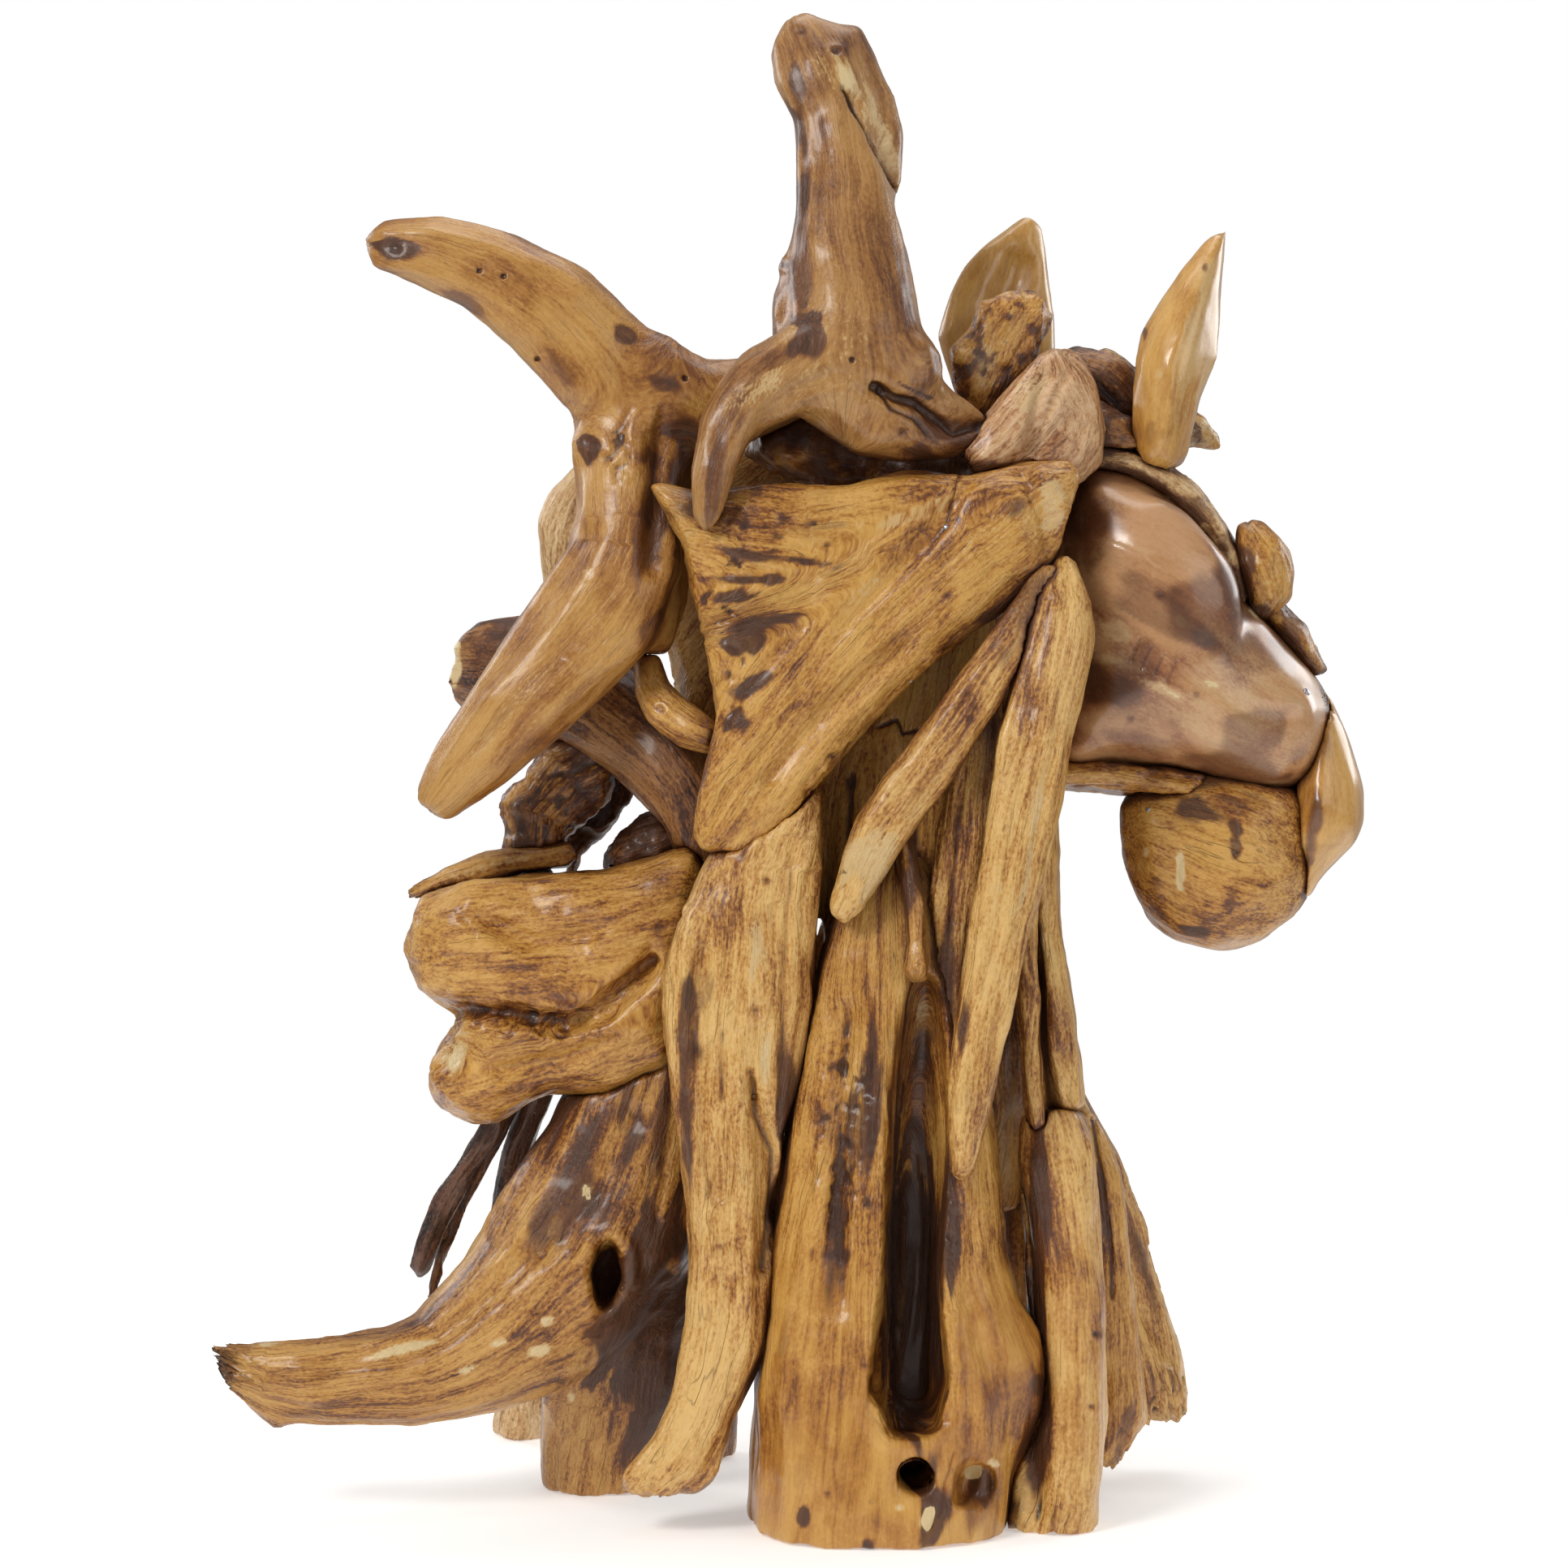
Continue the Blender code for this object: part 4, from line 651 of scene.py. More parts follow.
each(trunk.bark, (104.4, 140, 4.6, 14, 2.2, 11), (117.6, 150, 1.2, 7, 2.0, 8))
each(trunk.stain,
    (102.4, 154.6, 2.6, 1.6, 1.2), (106.4, 155.6, 1.0, 1.2, 0.9), (105.4, 140, 3.4, 9, 0.7),
    (108.2, 132, 1.2, 8, 1.0), (117.4, 156, 0.9, 5, 0.9), (97, 172, 2.4, 10, 0.45),
)
each(trunk.groove,
    ([(104.6, 124), (103.6, 136), (103.2, 150), (104.0, 160)], 0.9, 2.5, 0.6),
    ([(107.0, 120), (107.2, 134), (106.8, 148)], 0.8, 2.5, 0.6),
    ([(119.4, 150), (119.6, 160), (121.6, 168)], 0.9, 1.5, 0.1),
)
trunk.set_down(golden)

# ---------------------------------------------------------------- base root
# The big root at the left lies on the floor with one arm. It is golden where it was scraped, red-brown above
# and almost black on its right, with a deep oval knot hollow and a torn end.

knot_rim = [(74.4, 160.4), (72.4, 158), (72.8, 154.4), (75.2, 152.8), (77.0, 155.4), (76.6, 158.6), (74.4, 160.4)]
base = Wood(
    "base_root", 2.8,
    [(28, 167.6, -8, 2.4), (34.8, 170.2, -8, 4.8), (45, 169.7, -7, 5.6), (54.4, 168.2, -5, 7.2),
     (64.4, 162.0, -2, 10.2), (72.6, 153.2, 0, 12.2), (77.4, 141.6, 1, 10.4), (80.6, 130, 1, 8.4), (83, 121, 1, 5.0)],
    [(75.0, 160, 3, 9.8), (75.8, 169, 6, 9.4), (73.8, 179, 10, 6.9), (72.8, 190, 13, 5.8)],
    ease=26, crisp=[knot_rim, [(27, 167), (30, 172)]],
)
base.weather(flutes=1.8, lines=1.0, splits=1.8, share=0.15)
base.hole(74.6, 157.2, 2.2, 18, squash=1.8, turn=8)
base.ridge([(72.8, 161.6), (71.4, 157), (72.6, 153.0), (75.4, 151.4), (78.0, 154.4), (77.8, 158)], 1.2, 4)
base.groove([(66, 161), (69.6, 156), (70.4, 150.4), (74, 147)], 1.0, 2.0, 0.25)
each(base.stain,
    (82, 164, 5.6, 16, 1.3), (80, 176, 6, 12, 1.1), (76, 166, 4, 5, 0.8), (79, 137, 6, 14, 0.75),
    (73, 143, 8, 10, 0.3, 30), (71, 148, 5, 9, 0.4, 30), (62, 168, 12, 2.0, 0.35, -12), (63, 141, 2.4, 6, 0.6, 30),
)
each(base.groove,
    ([(40, 169), (50, 167), (58, 162.4), (66, 154)], 1.3, 1.5, 0.1),
    ([(44, 172), (54, 170.6), (62, 167), (68, 164)], 1.1, 1.5, 0.15),
    ([(78.6, 137), (73.6, 146), (67, 155)], 1.3, 1.5, 0.3),
)
base.fray(27.5, 168.5, 4.5, 10)
base.stain(28, 168, 2.0, 3.0, 0.6)
for column, row, wide, tall in ((66.5, 166.5, 1.6, 0.8), (61.5, 165.5, 1.2, 0.6), (49, 166.4, 4.0, 0.5),
                                (33.6, 165.2, 1.6, 0.5), (72, 146.6, 0.8, 1.2), (70.4, 172.0, 0.6, 0.8),
                                (67.4, 162.8, 0.9, 0.6), (57.4, 168.8, 1.0, 0.4)):
    base.bleach(column, row, wide, tall, 1.2, -15)
base.set_down(scraped)

# ---------------------------------------------------------------- right legs
# The roots and boards that splay out at the front of the neck: a leg with a swollen foot, a thin splint
# beside it, and two boards behind, which fan out down to ragged lower ends.

leg = Wood(
    "right_leg", 2.6,
    [(129.6, 137.0, -9, 3.8), (131.0, 150, -9, 4.3), (132.0, 160, -9, 4.2), (132.1, 172, -10, 4.3),
     (131.1, 182, -11, 4.6), (130.0, 191, -12, 4.8)],
    ease=20, crisp=[[(135.2, 164.4)], [(134.5, 173.3)]],
)
leg.weather(flutes=1.4, lines=0.7, splits=1.2, share=0.15)
leg.rub(133, 165, 4, 16, 0.6)
each(leg.knot, (135.2, 164.4, 0.8, 1.2, 1.4), (134.5, 173.3, 0.9, 1.2, 1.0, 0.5))
each(leg.groove,
    ([(127.6, 172), (127.4, 180), (128.0, 187)], 1.0, 3, 0.7),
    ([(130.4, 140), (131.4, 152), (132.0, 166)], 0.7, 1.6, 0.15),
)
each(leg.stain, (128, 150, 1.6, 14, 0.9), (127.6, 178, 1.6, 10, 0.7))
leg.ridge([(126, 186.4), (130, 187.6), (134, 185.6)], 1.0, 2)
leg.fray(127, 188, 4, 3)
leg.set_down(honey)

splint = Wood("right_splint", 2.0, [(126.6, 135, -8, 1.2), (127.6, 158, -8, 1.2), (127.8, 168, -8, 0.7)], ease=6)
splint.weather(flutes=0.8, lines=0.5, splits=0.8)
splint.stain(127, 160, 2, 8, 0.5)
splint.set_down(honey)

plank_split = [(134.6, 138), (136.2, 146), (137.0, 154), (137.2, 160)]
plank = Wood(
    "right_plank", 2.8, [(133, 137, 4, 3), (136.4, 150, 4, 3), (137.4, 165, 4, 4), (137, 181, 4, 4)],
    board=True, crisp=[plank_split],
)
plank.weather(flutes=1.6, lines=0.8, splits=1.6, share=0.2)
plank.groove(plank_split, 0.45, 3, 1.2)
each(plank.stain, (136.6, 152, 0.9, 8, 1.1, -8), (138, 176, 2, 3, 0.6))
plank.fray(137.4, 179.5, 4, 6)
plank.set_down(golden)

skirt = Wood(
    "right_skirt", 3.0, [(132, 133, 13, 3), (137, 146, 14, 3), (140.4, 160, 15, 4), (143, 174, 16, 4)], board=True,
)
skirt.weather(flutes=1.8, lines=1.0, splits=1.8, share=0.2)
for fold in ([(137, 150), (141, 162), (146, 170)], [(136.4, 158), (139.6, 168), (142.6, 175)],
             [(138.6, 146), (143.4, 158), (147.4, 166)]):
    skirt.groove(fold, 1.0, 3.0, 0.35)
skirt.stain(139, 152, 1.2, 9, 0.6, -20)
skirt.fray(143.5, 173, 4.5, 8)
skirt.set_down(honey)

# ---------------------------------------------------------------- far legs
# Three plain roots hold the far side up. The photo shows only a pale foot and a brown one of them.

for node, finish, slot, line in (
    ("back_mane_root", golden, "golden_teak",
     [(97, 92, 13, 4.0), (90.6, 122, 15, 6.4), (89.8, 140, 19, 5.0), (88.4, 168, 28, 2.8), (87.9, 182, 30, 2.8)]),
    ("back_right_leg", golden, "golden_teak",
     [(125.6, 118, 11, 3.4), (127.4, 134, 13, 4.4), (126.4, 164, 20, 4.2), (126.6, 180, 24, 4.4)]),
    ("back_middle_leg", brown, "brown_teak",
     [(108, 116, 13.5, 4.0), (107, 132, 15.5, 5.4), (107, 166, 21, 5.0), (107.4, 184, 23, 5.4)]),
    ("back_left_leg", pale, "pale_teak",
     [(88, 128, 12, 4.0), (81, 144, 20, 4.4), (73, 160, 32, 4.0), (66.0, 168, 40, 3.4), (63.6, 178, 44.5, 3.3)]),
):
    root = Wood(node, 4.4, line, ease=10)
    root.weather(flutes=2.6, lines=1.0, dents=1.6, splits=2.6, share=0.3)
    root.set_down(finish)

# ---------------------------------------------------------------- neck root
# The old inner root between the straps, which every board of the neck is fixed to. Above, under the crown,
# it is crumbly and mottled.

step_crack = [(108.4, 89.6), (110.4, 88.6), (111.2, 90.4), (113.0, 90.0), (113.6, 91.6)]
neck = Wood(
    "neck_root", 3.6,
    [(119, 60, 4, 9.0), (118, 74, 4, 11.4), (115.4, 90, 3, 12.6), (114.4, 106, 3, 12.4), (114.4, 122, 4, 12.6),
     (115, 144, 8, 12.0)],
    [(108, 82, 3, 8.0), (98, 92, 3, 8.0), (93, 106, 2, 8.0), (92, 124, 2, 7.0)],
    ease=12, crisp=[step_crack],
)
neck.weather(flutes=2.6, lines=1.0, splits=2.4, share=0.3)
each(neck.groove,
    (step_crack, 0.5, 5, 1.4), ([(104.6, 96), (104.2, 106), (104.0, 116)], 0.9, 4, 1.2),
    ([(112.6, 96), (113.0, 108), (112.6, 120)], 0.9, 4, 1.2),
    ([(121.4, 96), (120.4, 110), (118.6, 126)], 0.9, 4, 1.2),
)
neck.bleach(110, 88, 5, 6, 0.35)
crumbs = neck.lumps(20, 21) * np.clip((66 - neck.row) / 6, 0, 1)
neck.lift += 4.0 * crumbs
neck.stained += np.clip((66 - neck.row) / 6, 0, 1) * (0.55 + 0.3 * neck.lumps(24, 22))
neck.crevice += np.clip(-crumbs, 0, 1)
neck.stained += 0.5 * np.clip((neck.column - 121) / 5, 0, 1)
neck.set_down(golden)

# ---------------------------------------------------------------- neck boards
# Flat root boards that are nailed on between and behind the straps, and a thin stick with a knob.

for node, spacing, finish, slot, line in (
    ("neck_plank", 2.5, honey, "golden_teak",
     [(121.6, 84, -13, 1.8), (120.2, 95, -13, 3.4), (118.8, 106, -13.6, 3.8), (117.6, 125, -14.5, 2.4),
      (117.4, 134, -15, 1.6)]),
    ("front_edge_plank", 2.7, honey, "honey_teak",
     [(127.6, 86, -6, 2.4), (128.2, 108, -7, 1.8), (130.5, 127, -7, 1.8), (131.6, 136, -7, 2.0)]),
    ("front_slat", 2.3, honey, "honey_teak",
     [(126.6, 104, -11, 1.4), (127.0, 128, -12, 1.4), (127.8, 138.6, -12, 0.9)]),
):
    board = Wood(node, spacing, line, board=True, ease=8)
    board.weather(flutes=1.2, lines=0.9, splits=1.6, share=0.25)
    if node == "neck_plank":
        board.groove([(118.4, 96), (117.6, 108), (116.8, 122)], 0.5, 2, 0.5)
        board.stain(116.6, 116, 1.2, 12, 0.6)
    board.set_down(finish)

knob = Wood(
    "knob_stick", 1.8, [(111.2, 103, -14.6, 1.4), (112.4, 110, -16.4, 1.4), (112.9, 119.8, -18.6, 1.6)], ease=6,
)
knob.weather(flutes=0.6, lines=0.4, splits=0.5)
knob.stain(112.2, 109, 1.6, 7, 0.9)
knob.knot(112.8, 119.6, 1.0, 0.8, 0.6, 0.2)
knob.set_down(scraped)

# ---------------------------------------------------------------- mane slab
# The long board with a foot that falls from under the cheek slab. Folds run down it as in wet clay.

mane_knot = [(91.6, 122.4), (94.4, 123.6), (94.2, 126.4), (91.8, 126.2), (91.6, 122.4)]
mane_fold = [(92.4, 132), (93.2, 137), (95.0, 142), (95.0, 148), (94.0, 156)]
mane = Wood(
    "mane_slab", 2.7,
    [(98, 96, -14, 5), (92, 108, -14, 8), (91, 122, -14, 9), (90, 136, -14, 7), (90, 150, -14, 5),
     (89.6, 162, -14, 5), (87, 174, -14, 5), (81, 183, -14, 5)],
    board=True, ease=14, crisp=[mane_fold, [(94.5, 108.5)], mane_knot],
)
mane.weather(flutes=2.6, lines=1.3, splits=2.0, share=0.2)
each(mane.knot, (94.5, 108.5, 0.9, 1.4, 3.0), (93.0, 124.5, 1.7, 1.6, 2.4, 0.5), (88.6, 153.6, 1.5, 1.4, 1.6, 0.5))
each(mane.groove,
    (mane_fold, 0.8, 5, 0.9), ([(97.6, 106), (96.6, 118), (96.4, 130), (95.8, 140)], 0.8, 3.5, 0.7),
    ([(87.0, 114), (85.6, 126), (86.6, 138), (88.2, 148)], 0.9, 3.0, 0.4),
    ([(90.4, 112), (90.0, 118), (88.8, 122), (88.4, 132), (90.0, 144)], 0.7, 2.2, 0.4),
    ([(89.8, 158), (88.6, 168), (86, 177)], 0.9, 2.5, 0.4),
    ([(91.6, 150), (91.6, 162), (90.0, 172)], 0.7, 2.0, 0.3),
)
each(mane.ridge,
    ([(90.8, 128), (91.0, 138), (92.4, 150), (91.6, 160)], 1.6, 3.5),
    ([(84.6, 112), (84.2, 124), (84.8, 134)], 1.2, 3),
)
each(mane.stain,
    (84.2, 132, 1.3, 12, 0.9), (94.6, 118, 1.2, 6, 0.4), (96.8, 134, 1.0, 9, 0.6), (86.4, 120, 1.4, 4, 0.5),
)
each(mane.bleach, (92.8, 116, 1.4, 5, 0.7), (94.4, 132, 0.8, 4, 0.7))
mane.fray(80, 183, 3.6, 3)
mane.set_down(honey)

# ---------------------------------------------------------------- side block
# The two-lobed lump of root at the left, with a deep fold between its lobes and a splinter on its top.

side_fold = [(51.6, 126.0), (58, 124.4), (64, 125.0), (70.4, 126.0), (75.4, 122), (80.4, 118.4)]
side = Wood(
    "side_block", 2.8,
    [(51, 116, -2, 7), (60, 115, -2, 8), (72, 114, -2, 9), (86, 111, -2, 9)],
    [(54, 133, -2, 4), (64, 130.5, -2, 5), (74, 128, -2, 6), (84, 122, -2, 7)],
    board=True, crisp=[side_fold, [(69.5, 126.6)]],
)
side.weather(flutes=2.2, lines=1.1, dents=1.6, splits=1.8, share=0.2)
each(side.groove,
    (side_fold, 1.1, 6, 0.5), ([(54, 123.6), (60, 122.4), (66, 123.2), (72, 123.4)], 0.7, 2.5, 0.4),
    ([(53, 113.4), (60, 113), (66, 116.0), (73, 115.2), (80, 113)], 0.8, 1.8, 0.2),
    ([(60, 131.8), (68, 131.2), (76, 128)], 0.8, 2.0, 0.35),
    ([(54, 119), (62, 119.6), (70, 119.6)], 0.7, 1.6, 0.3),
    ([(56.4, 112.2), (58.4, 115.0), (56.2, 118.8), (54.8, 122)], 0.5, 2.4, 0.4),
)
side.knot(69.5, 126.6, 1.2, 1.6, 1.6, 0.5)
each(side.stain, (81, 115, 2.6, 9, 0.6), (66, 124.6, 10, 1.6, 0.5))
side.bark(66, 126, 10, 2.4, 1.6, 9)
side.bleach(56.2, 129.8, 1.4, 3.4, 1.0, 20)
side.set_down(golden)

splinter = Wood("side_splinter", 2.1, [(50.8, 109.9, 1, 1.0), (55.2, 108.4, 1, 1.5), (70, 105.4, 2, 1.5)], ease=6)
splinter.weather(flutes=1.2, lines=0.8, splits=1.0)
splinter.bleach(58, 107.4, 6, 0.7, 0.7, -14)
splinter.fray(51.5, 109.7, 2.0, 5, 3)
splinter.set_down(scraped)

# ---------------------------------------------------------------- hanging sticks
# Three thin dark roots that hang behind the side block.

for node, finish, slot, line in (
    ("hanging_stick_left", dark, "dark_teak",
     [(62.8, 133, 4, 1.4), (60.5, 139.4, 5, 1.3), (56.3, 145.6, 6, 1.4), (53.2, 151.6, 6, 1.5),
      (51.5, 156.8, 6, 1.2)]),
    ("hanging_stick_middle", brown, "brown_teak",
     [(65, 130, 3.5, 1.4), (62.0, 138.4, 7, 1.1), (57.6, 146.6, 9, 1.1), (52.9, 160.6, 10, 0.5)]),
    ("hanging_stick_right", dark, "dark_teak",
     [(68, 130, 4, 1.8), (65.0, 138, 8, 1.5), (62.8, 144, 10.4, 1.5), (61.2, 150.6, 12, 1.0)]),
):
    stick = Wood(node, 1.9, line, ease=6)
    stick.weather(flutes=0.8, lines=0.5, splits=0.8)
    stick.set_down(finish)

# ---------------------------------------------------------------- burrs and bosses
# The rusty and dark weathered lumps over the side block, crumbly all over.

for node, finish, slot, line in (
    ("rust_burr", scraped, "brown_teak", [(66, 108, 5, 3), (66, 98, 5, 5), (74, 92, 5, 3)]),
    ("dark_burr", brown, "dark_teak", [(70, 102, 14, 3), (77, 93, 14, 3)]),
    ("dark_boss", brown, "dark_teak", [(75, 106, 4, 3), (85, 103, 4, 3)]),
):
    burr = Wood(node, 2.2, line, board=True, ease=6)
    burr.weather(flutes=2.0, lines=1.2, dents=2.4, splits=2.4, share=0.4)
    burr.lift += 2.2 * burr.lumps(13, 23)
    burr.stained += np.clip(0.25 - 0.5 * burr.lumps(30, 24), 0, 0.8)
    burr.crevice += np.clip(-burr.lumps(13, 23), 0, 0.8)
    burr.set_down(finish)

# ---------------------------------------------------------------- dark root
# The thick curved root behind the left crown root. Its upper end is sawn off, with a bleached rim.

curved = Wood(
    "dark_root", 2.7,
    [(57.1, 82.2, 12, 5.5), (64.6, 83.0, 9, 5.9), (72.4, 86.2, 5, 6.6), (79.6, 91.4, 1, 6.0), (84.6, 98.4, -2, 4.4),
     (86.4, 106, -3, 3.0)],
    ease=20,
)
curved.weather(flutes=1.8, lines=0.9, splits=1.6, share=0.2)
curved.stain(60, 81, 4, 4, 0.6)
curved.bleach(56.0, 82, 0.9, 5, 1.4)
curved.stain(62, 77.5, 4, 1.6, 0.8)
curved.set_down(brown)

hook = Wood(
    "small_hook", 2.1, [(79.6, 80.6, -5, 1.6), (80.6, 85.6, -7, 2.2), (83.8, 88.8, -9, 2.6), (87.4, 90.6, -10, 2.2)],
    ease=10,
)
hook.weather(flutes=1.2, lines=0.6, splits=1.0)
hook.knot(81.4, 87.4, 1.0, 0.8, 1.0, 0.5)
hook.stain(84, 91, 3, 1.4, 0.5)
hook.set_down(golden)

# ---------------------------------------------------------------- pale bulge
# A bleached bare root behind the left crown root. It had lain in the sun and took little varnish.

bulge = Wood(
    "pale_bulge", 2.9,
    [(76.8, 56.4, 2, 3.4), (73.0, 63.8, 4, 5.8), (71.8, 69.6, 5, 5.0), (73, 78, 6, 4.6), (77.6, 86, 7, 4.6)],
)
bulge.weather(flutes=2.4, lines=1.0, splits=2.0, share=0.3)
bulge.bleached += 0.35
bulge.set_down(pale)

# ---------------------------------------------------------------- left crown root
# A forked root: one arm reaches up to the left to a dark worn end, one limb hangs down, and a stump goes in
# behind the crest root. It is smooth from handling on top and stained in its fork.

worm_holes = ((59.0, 33.3), (62.0, 34.0), (66.2, 44.2), (84.4, 46.6))
crown = Wood(
    "left_crown_root", 2.6,
    [(98, 47.4, -3, 3.8), (91, 49.6, -4, 5.0), (83, 50.5, -5, 7.0), (75.2, 46.2, -6, 6.9), (68.0, 38.7, -8, 6.4),
     (60.4, 33.6, -9, 5.4), (53, 31.0, -10, 4.2), (47.6, 30.4, -10, 3.2)],
    [(80, 49, -5, 7.0), (78.2, 54, -6, 7.0), (77.4, 62, -8, 6.2), (76.5, 70.4, -10, 7.2), (71.1, 78.8, -11, 7.4),
     (64, 86.5, -12, 6.2), (58.3, 93.4, -12, 4.9), (54.2, 98.4, -12, 3.2)],
    ease=24, crisp=[[place] for place in worm_holes] + [[(48.8, 30.6)], [(73.0, 54.6)]],
)
crown.weather(flutes=1.2, lines=0.5, dents=0.9, splits=0.9, share=0.05)
crown.stain(48.4, 30.4, 2.2, 3.0, 0.9)
crown.knot(48.6, 30.6, 1.8, 0.8, 2.0, 0.7)
for column, row in worm_holes:
    crown.hole(column, row, 0.4, 4)
for column, row, wide, tall, amount, turn in (
    (57, 36.6, 3.0, 0.9, 0.7, 30), (69, 45.4, 3.2, 1.6, 0.7, 40), (80.4, 46.6, 4.0, 1.2, 0.7, 20),
    (74.5, 33.4, 7, 1.2, 0.8, 42), (76.6, 41.4, 1.2, 1.0, 0.7, 0), (71, 71, 3.2, 0.8, 0.5, -60),
    (66.6, 78.0, 1.0, 4.6, 0.5, 35), (84.6, 57, 2.2, 8, 0.8, 0), (80.6, 66, 2.4, 8, 0.7, 0),
    (79.0, 56.6, 3.4, 1.6, 0.6, 0), (73.0, 55.0, 2.0, 1.6, 1.1, 0), (79.6, 77.6, 2.4, 2.6, 0.6, 0),
):
    crown.stain(column, row, wide, tall, amount, turn)
crown.knot(73.0, 54.6, 1.6, 1.2, 1.6)
each(crown.groove,
    ([(81.6, 50), (80.8, 60), (80.2, 70)], 1.0, 3, 0.5), ([(77.6, 50.6), (76.4, 53.2), (77.6, 56.2)], 0.7, 2, 0.6),
    ([(72.5, 66), (67.0, 75), (60.6, 84)], 1.3, 1.4, 0.1),
)
crown.bark(76.6, 56, 2.6, 4, 1.8, 9)
crown.ridge([(70, 81.4), (74, 82.6), (78, 80.4), (81.0, 76.6)], 1.2, 3)
crown.knot(72.6, 70.8, 0.8, 0.8, 0.6, 0.4)
crown.bleach(72.6, 70.8, 0.6, 0.8, 0.9)
crown.set_down(worn)

# ---------------------------------------------------------------- crest root
# The tall horn over the poll, with a light flake split off its right side, a hook over the mane, and a foot
# that runs out under the poll fork with a charred crack in it.

flake_crack = [(103.9, 10.8), (105.6, 14.4), (107.2, 17.6), (109.0, 20.6), (110.9, 24.0)]
charred_crack = [(107.8, 47.6), (110.0, 49.0), (112.4, 49.6), (114.6, 51.2), (117.6, 53.4), (120.6, 52.4)]
crest = Wood(
    "crest_root", 2.6,
    [(105.0, 48, -13, 10.0), (105.4, 39, -12, 7.8), (104.3, 31, -10, 7.2), (103.7, 22, -8, 5.6), (102.4, 14, -6, 4.6),
     (100.4, 8.2, -5, 5.2), (98.8, 4.6, -4, 3.8)],
    [(104, 45.6, -14, 6.0), (97, 46.2, -16, 5.0), (91.2, 50.3, -18, 3.9), (88.4, 56.2, -20, 2.9),
     (87.2, 64.6, -21, 1.5)],
    [(103, 47, -12, 6.2), (109.5, 50, -12, 6.8), (115, 52.3, -11, 4.8), (120.6, 52.6, -10, 1.9)],
    ease=24, crisp=[flake_crack, charred_crack, [(103.0, 6.2)], [(111.5, 53.2)], [(105.0, 44.3)]],
)
crest.weather(flutes=1.1, lines=0.4, dents=0.8, splits=0.7, share=0.0)
each(crest.knot, (103.0, 6.4, 1.0, 1.0, 2.4), (98.6, 4.0, 1.2, 0.8, 0.8, 0.5))
crest.stain(100.2, 5.6, 3.2, 1.4, 0.5)
crest.bleach(101.6, 8.4, 4.2, 2.6, 0.5)
crest.groove(flake_crack, 0.34, 6, 1.6)
crest.bleach(107.4, 14.6, 1.6, 6.0, 1.0, -24)
each(crest.stain,
    (98.8, 17, 1.1, 8, 1.0, -6), (98.6, 30, 1.2, 10, 0.8), (103.0, 15.4, 1.6, 1.6, 0.5),
    (100, 41.6, 2.2, 2.4, 1.1), (96.6, 43.6, 2.0, 1.2, 0.6, -30), (111.6, 32, 0.9, 8, 0.4),
)
crest.knot(96.6, 32.6, 1.0, 0.8, 0.8)
each(crest.groove,
    (charred_crack, 0.75, 5, 1.7), ([(108.4, 48.2), (109.8, 50.4), (112.6, 51.6), (114.6, 53.8)], 0.4, 3, 1.3),
    ([(110.8, 47.2), (113.0, 48.4), (115.4, 49.4)], 0.35, 2, 1.2),
)
each(crest.stain, (117.2, 53.2, 3.4, 1.6, 0.9, 10), (111.6, 55.4, 2.6, 0.9, 0.9, 10))
crest.knot(111.5, 53.2, 1.4, 0.9, 2.4, 0.5)
crest.hole(105.0, 44.3, 0.4, 4)
for start, middle, end in (((89.4, 56), (93.4, 48.8), (101, 46.6)), ((90.6, 58), (94.6, 50.8), (102.4, 48.8)),
                           ((100.4, 45.0), (105.4, 46.8), (107.4, 50.4)),
                           ((101.4, 47.2), (104.6, 48.8), (105.6, 52))):
    crest.groove([start, middle, end], 0.55, 0.9, 0.22)
crest.bleach(92.4, 48.6, 4.6, 1.4, 0.6, -35)
each(crest.stain, (88.0, 57, 1.4, 6, 0.5), (104, 52.6, 3.4, 1.4, 0.5))
crest.set_down(horn)

# ---------------------------------------------------------------- cheek slab
# The broad fan of root board over the side of the neck. Its grain spreads from the poll down to its tip,
# with flame figure and crumbs of bark at its left and a raw edge below.

nail_crack = [(118.2, 58.6), (117.6, 61.0), (116.6, 64.2)]
cheek = Wood(
    "cheek_slab", 2.6,
    [(131, 61, -14, 5), (118, 68, -14, 9), (106, 80, -14, 10), (96, 92, -14, 8), (88, 104, -14, 5)],
    [(131, 60, -14, 5), (114, 62, -14, 6), (98, 66, -14, 8), (84, 63, -14, 6)],
    board=True, ease=14, crisp=[nail_crack, [(116.8, 73.4)]],
)
cheek.weather(flutes=1.8, lines=1.1, splits=1.5, share=0.15)
each(cheek.bark, (90.4, 75, 2.0, 13, 2.4, 9), (97, 66, 8, 3, 1.2, 12))
for column, row, wide, tall, turn in ((92, 68.4, 5.0, 0.9, 6), (94, 71.4, 5.4, 0.8, 2), (90.6, 73.6, 3.2, 1.0, -8),
                                      (94.0, 76.4, 4.6, 0.9, -10), (91.4, 79.2, 2.4, 1.2, -20),
                                      (92.6, 84.6, 2.4, 1.0, -30), (91.0, 89.0, 1.6, 1.4, -40),
                                      (99, 69.2, 4, 0.7, 6)):
    cheek.stain(column, row, wide, tall, 1.1, turn)
each(cheek.groove,
    ([(86.6, 66.8), (92, 69.8), (99, 71.0), (106, 70.4)], 0.7, 2.0, 0.35),
    ([(89, 75), (94, 77.6), (99, 77.4)], 0.7, 2.0, 0.4), (nail_crack, 0.28, 2.5, 0.9),
    ([(119.0, 60), (116.6, 64.6), (111, 70.6), (104, 78), (98, 85)], 0.8, 1.8, 0.15),
    ([(125.6, 58), (128.0, 62.6), (129.2, 68)], 0.8, 2.5, 0.2),
)
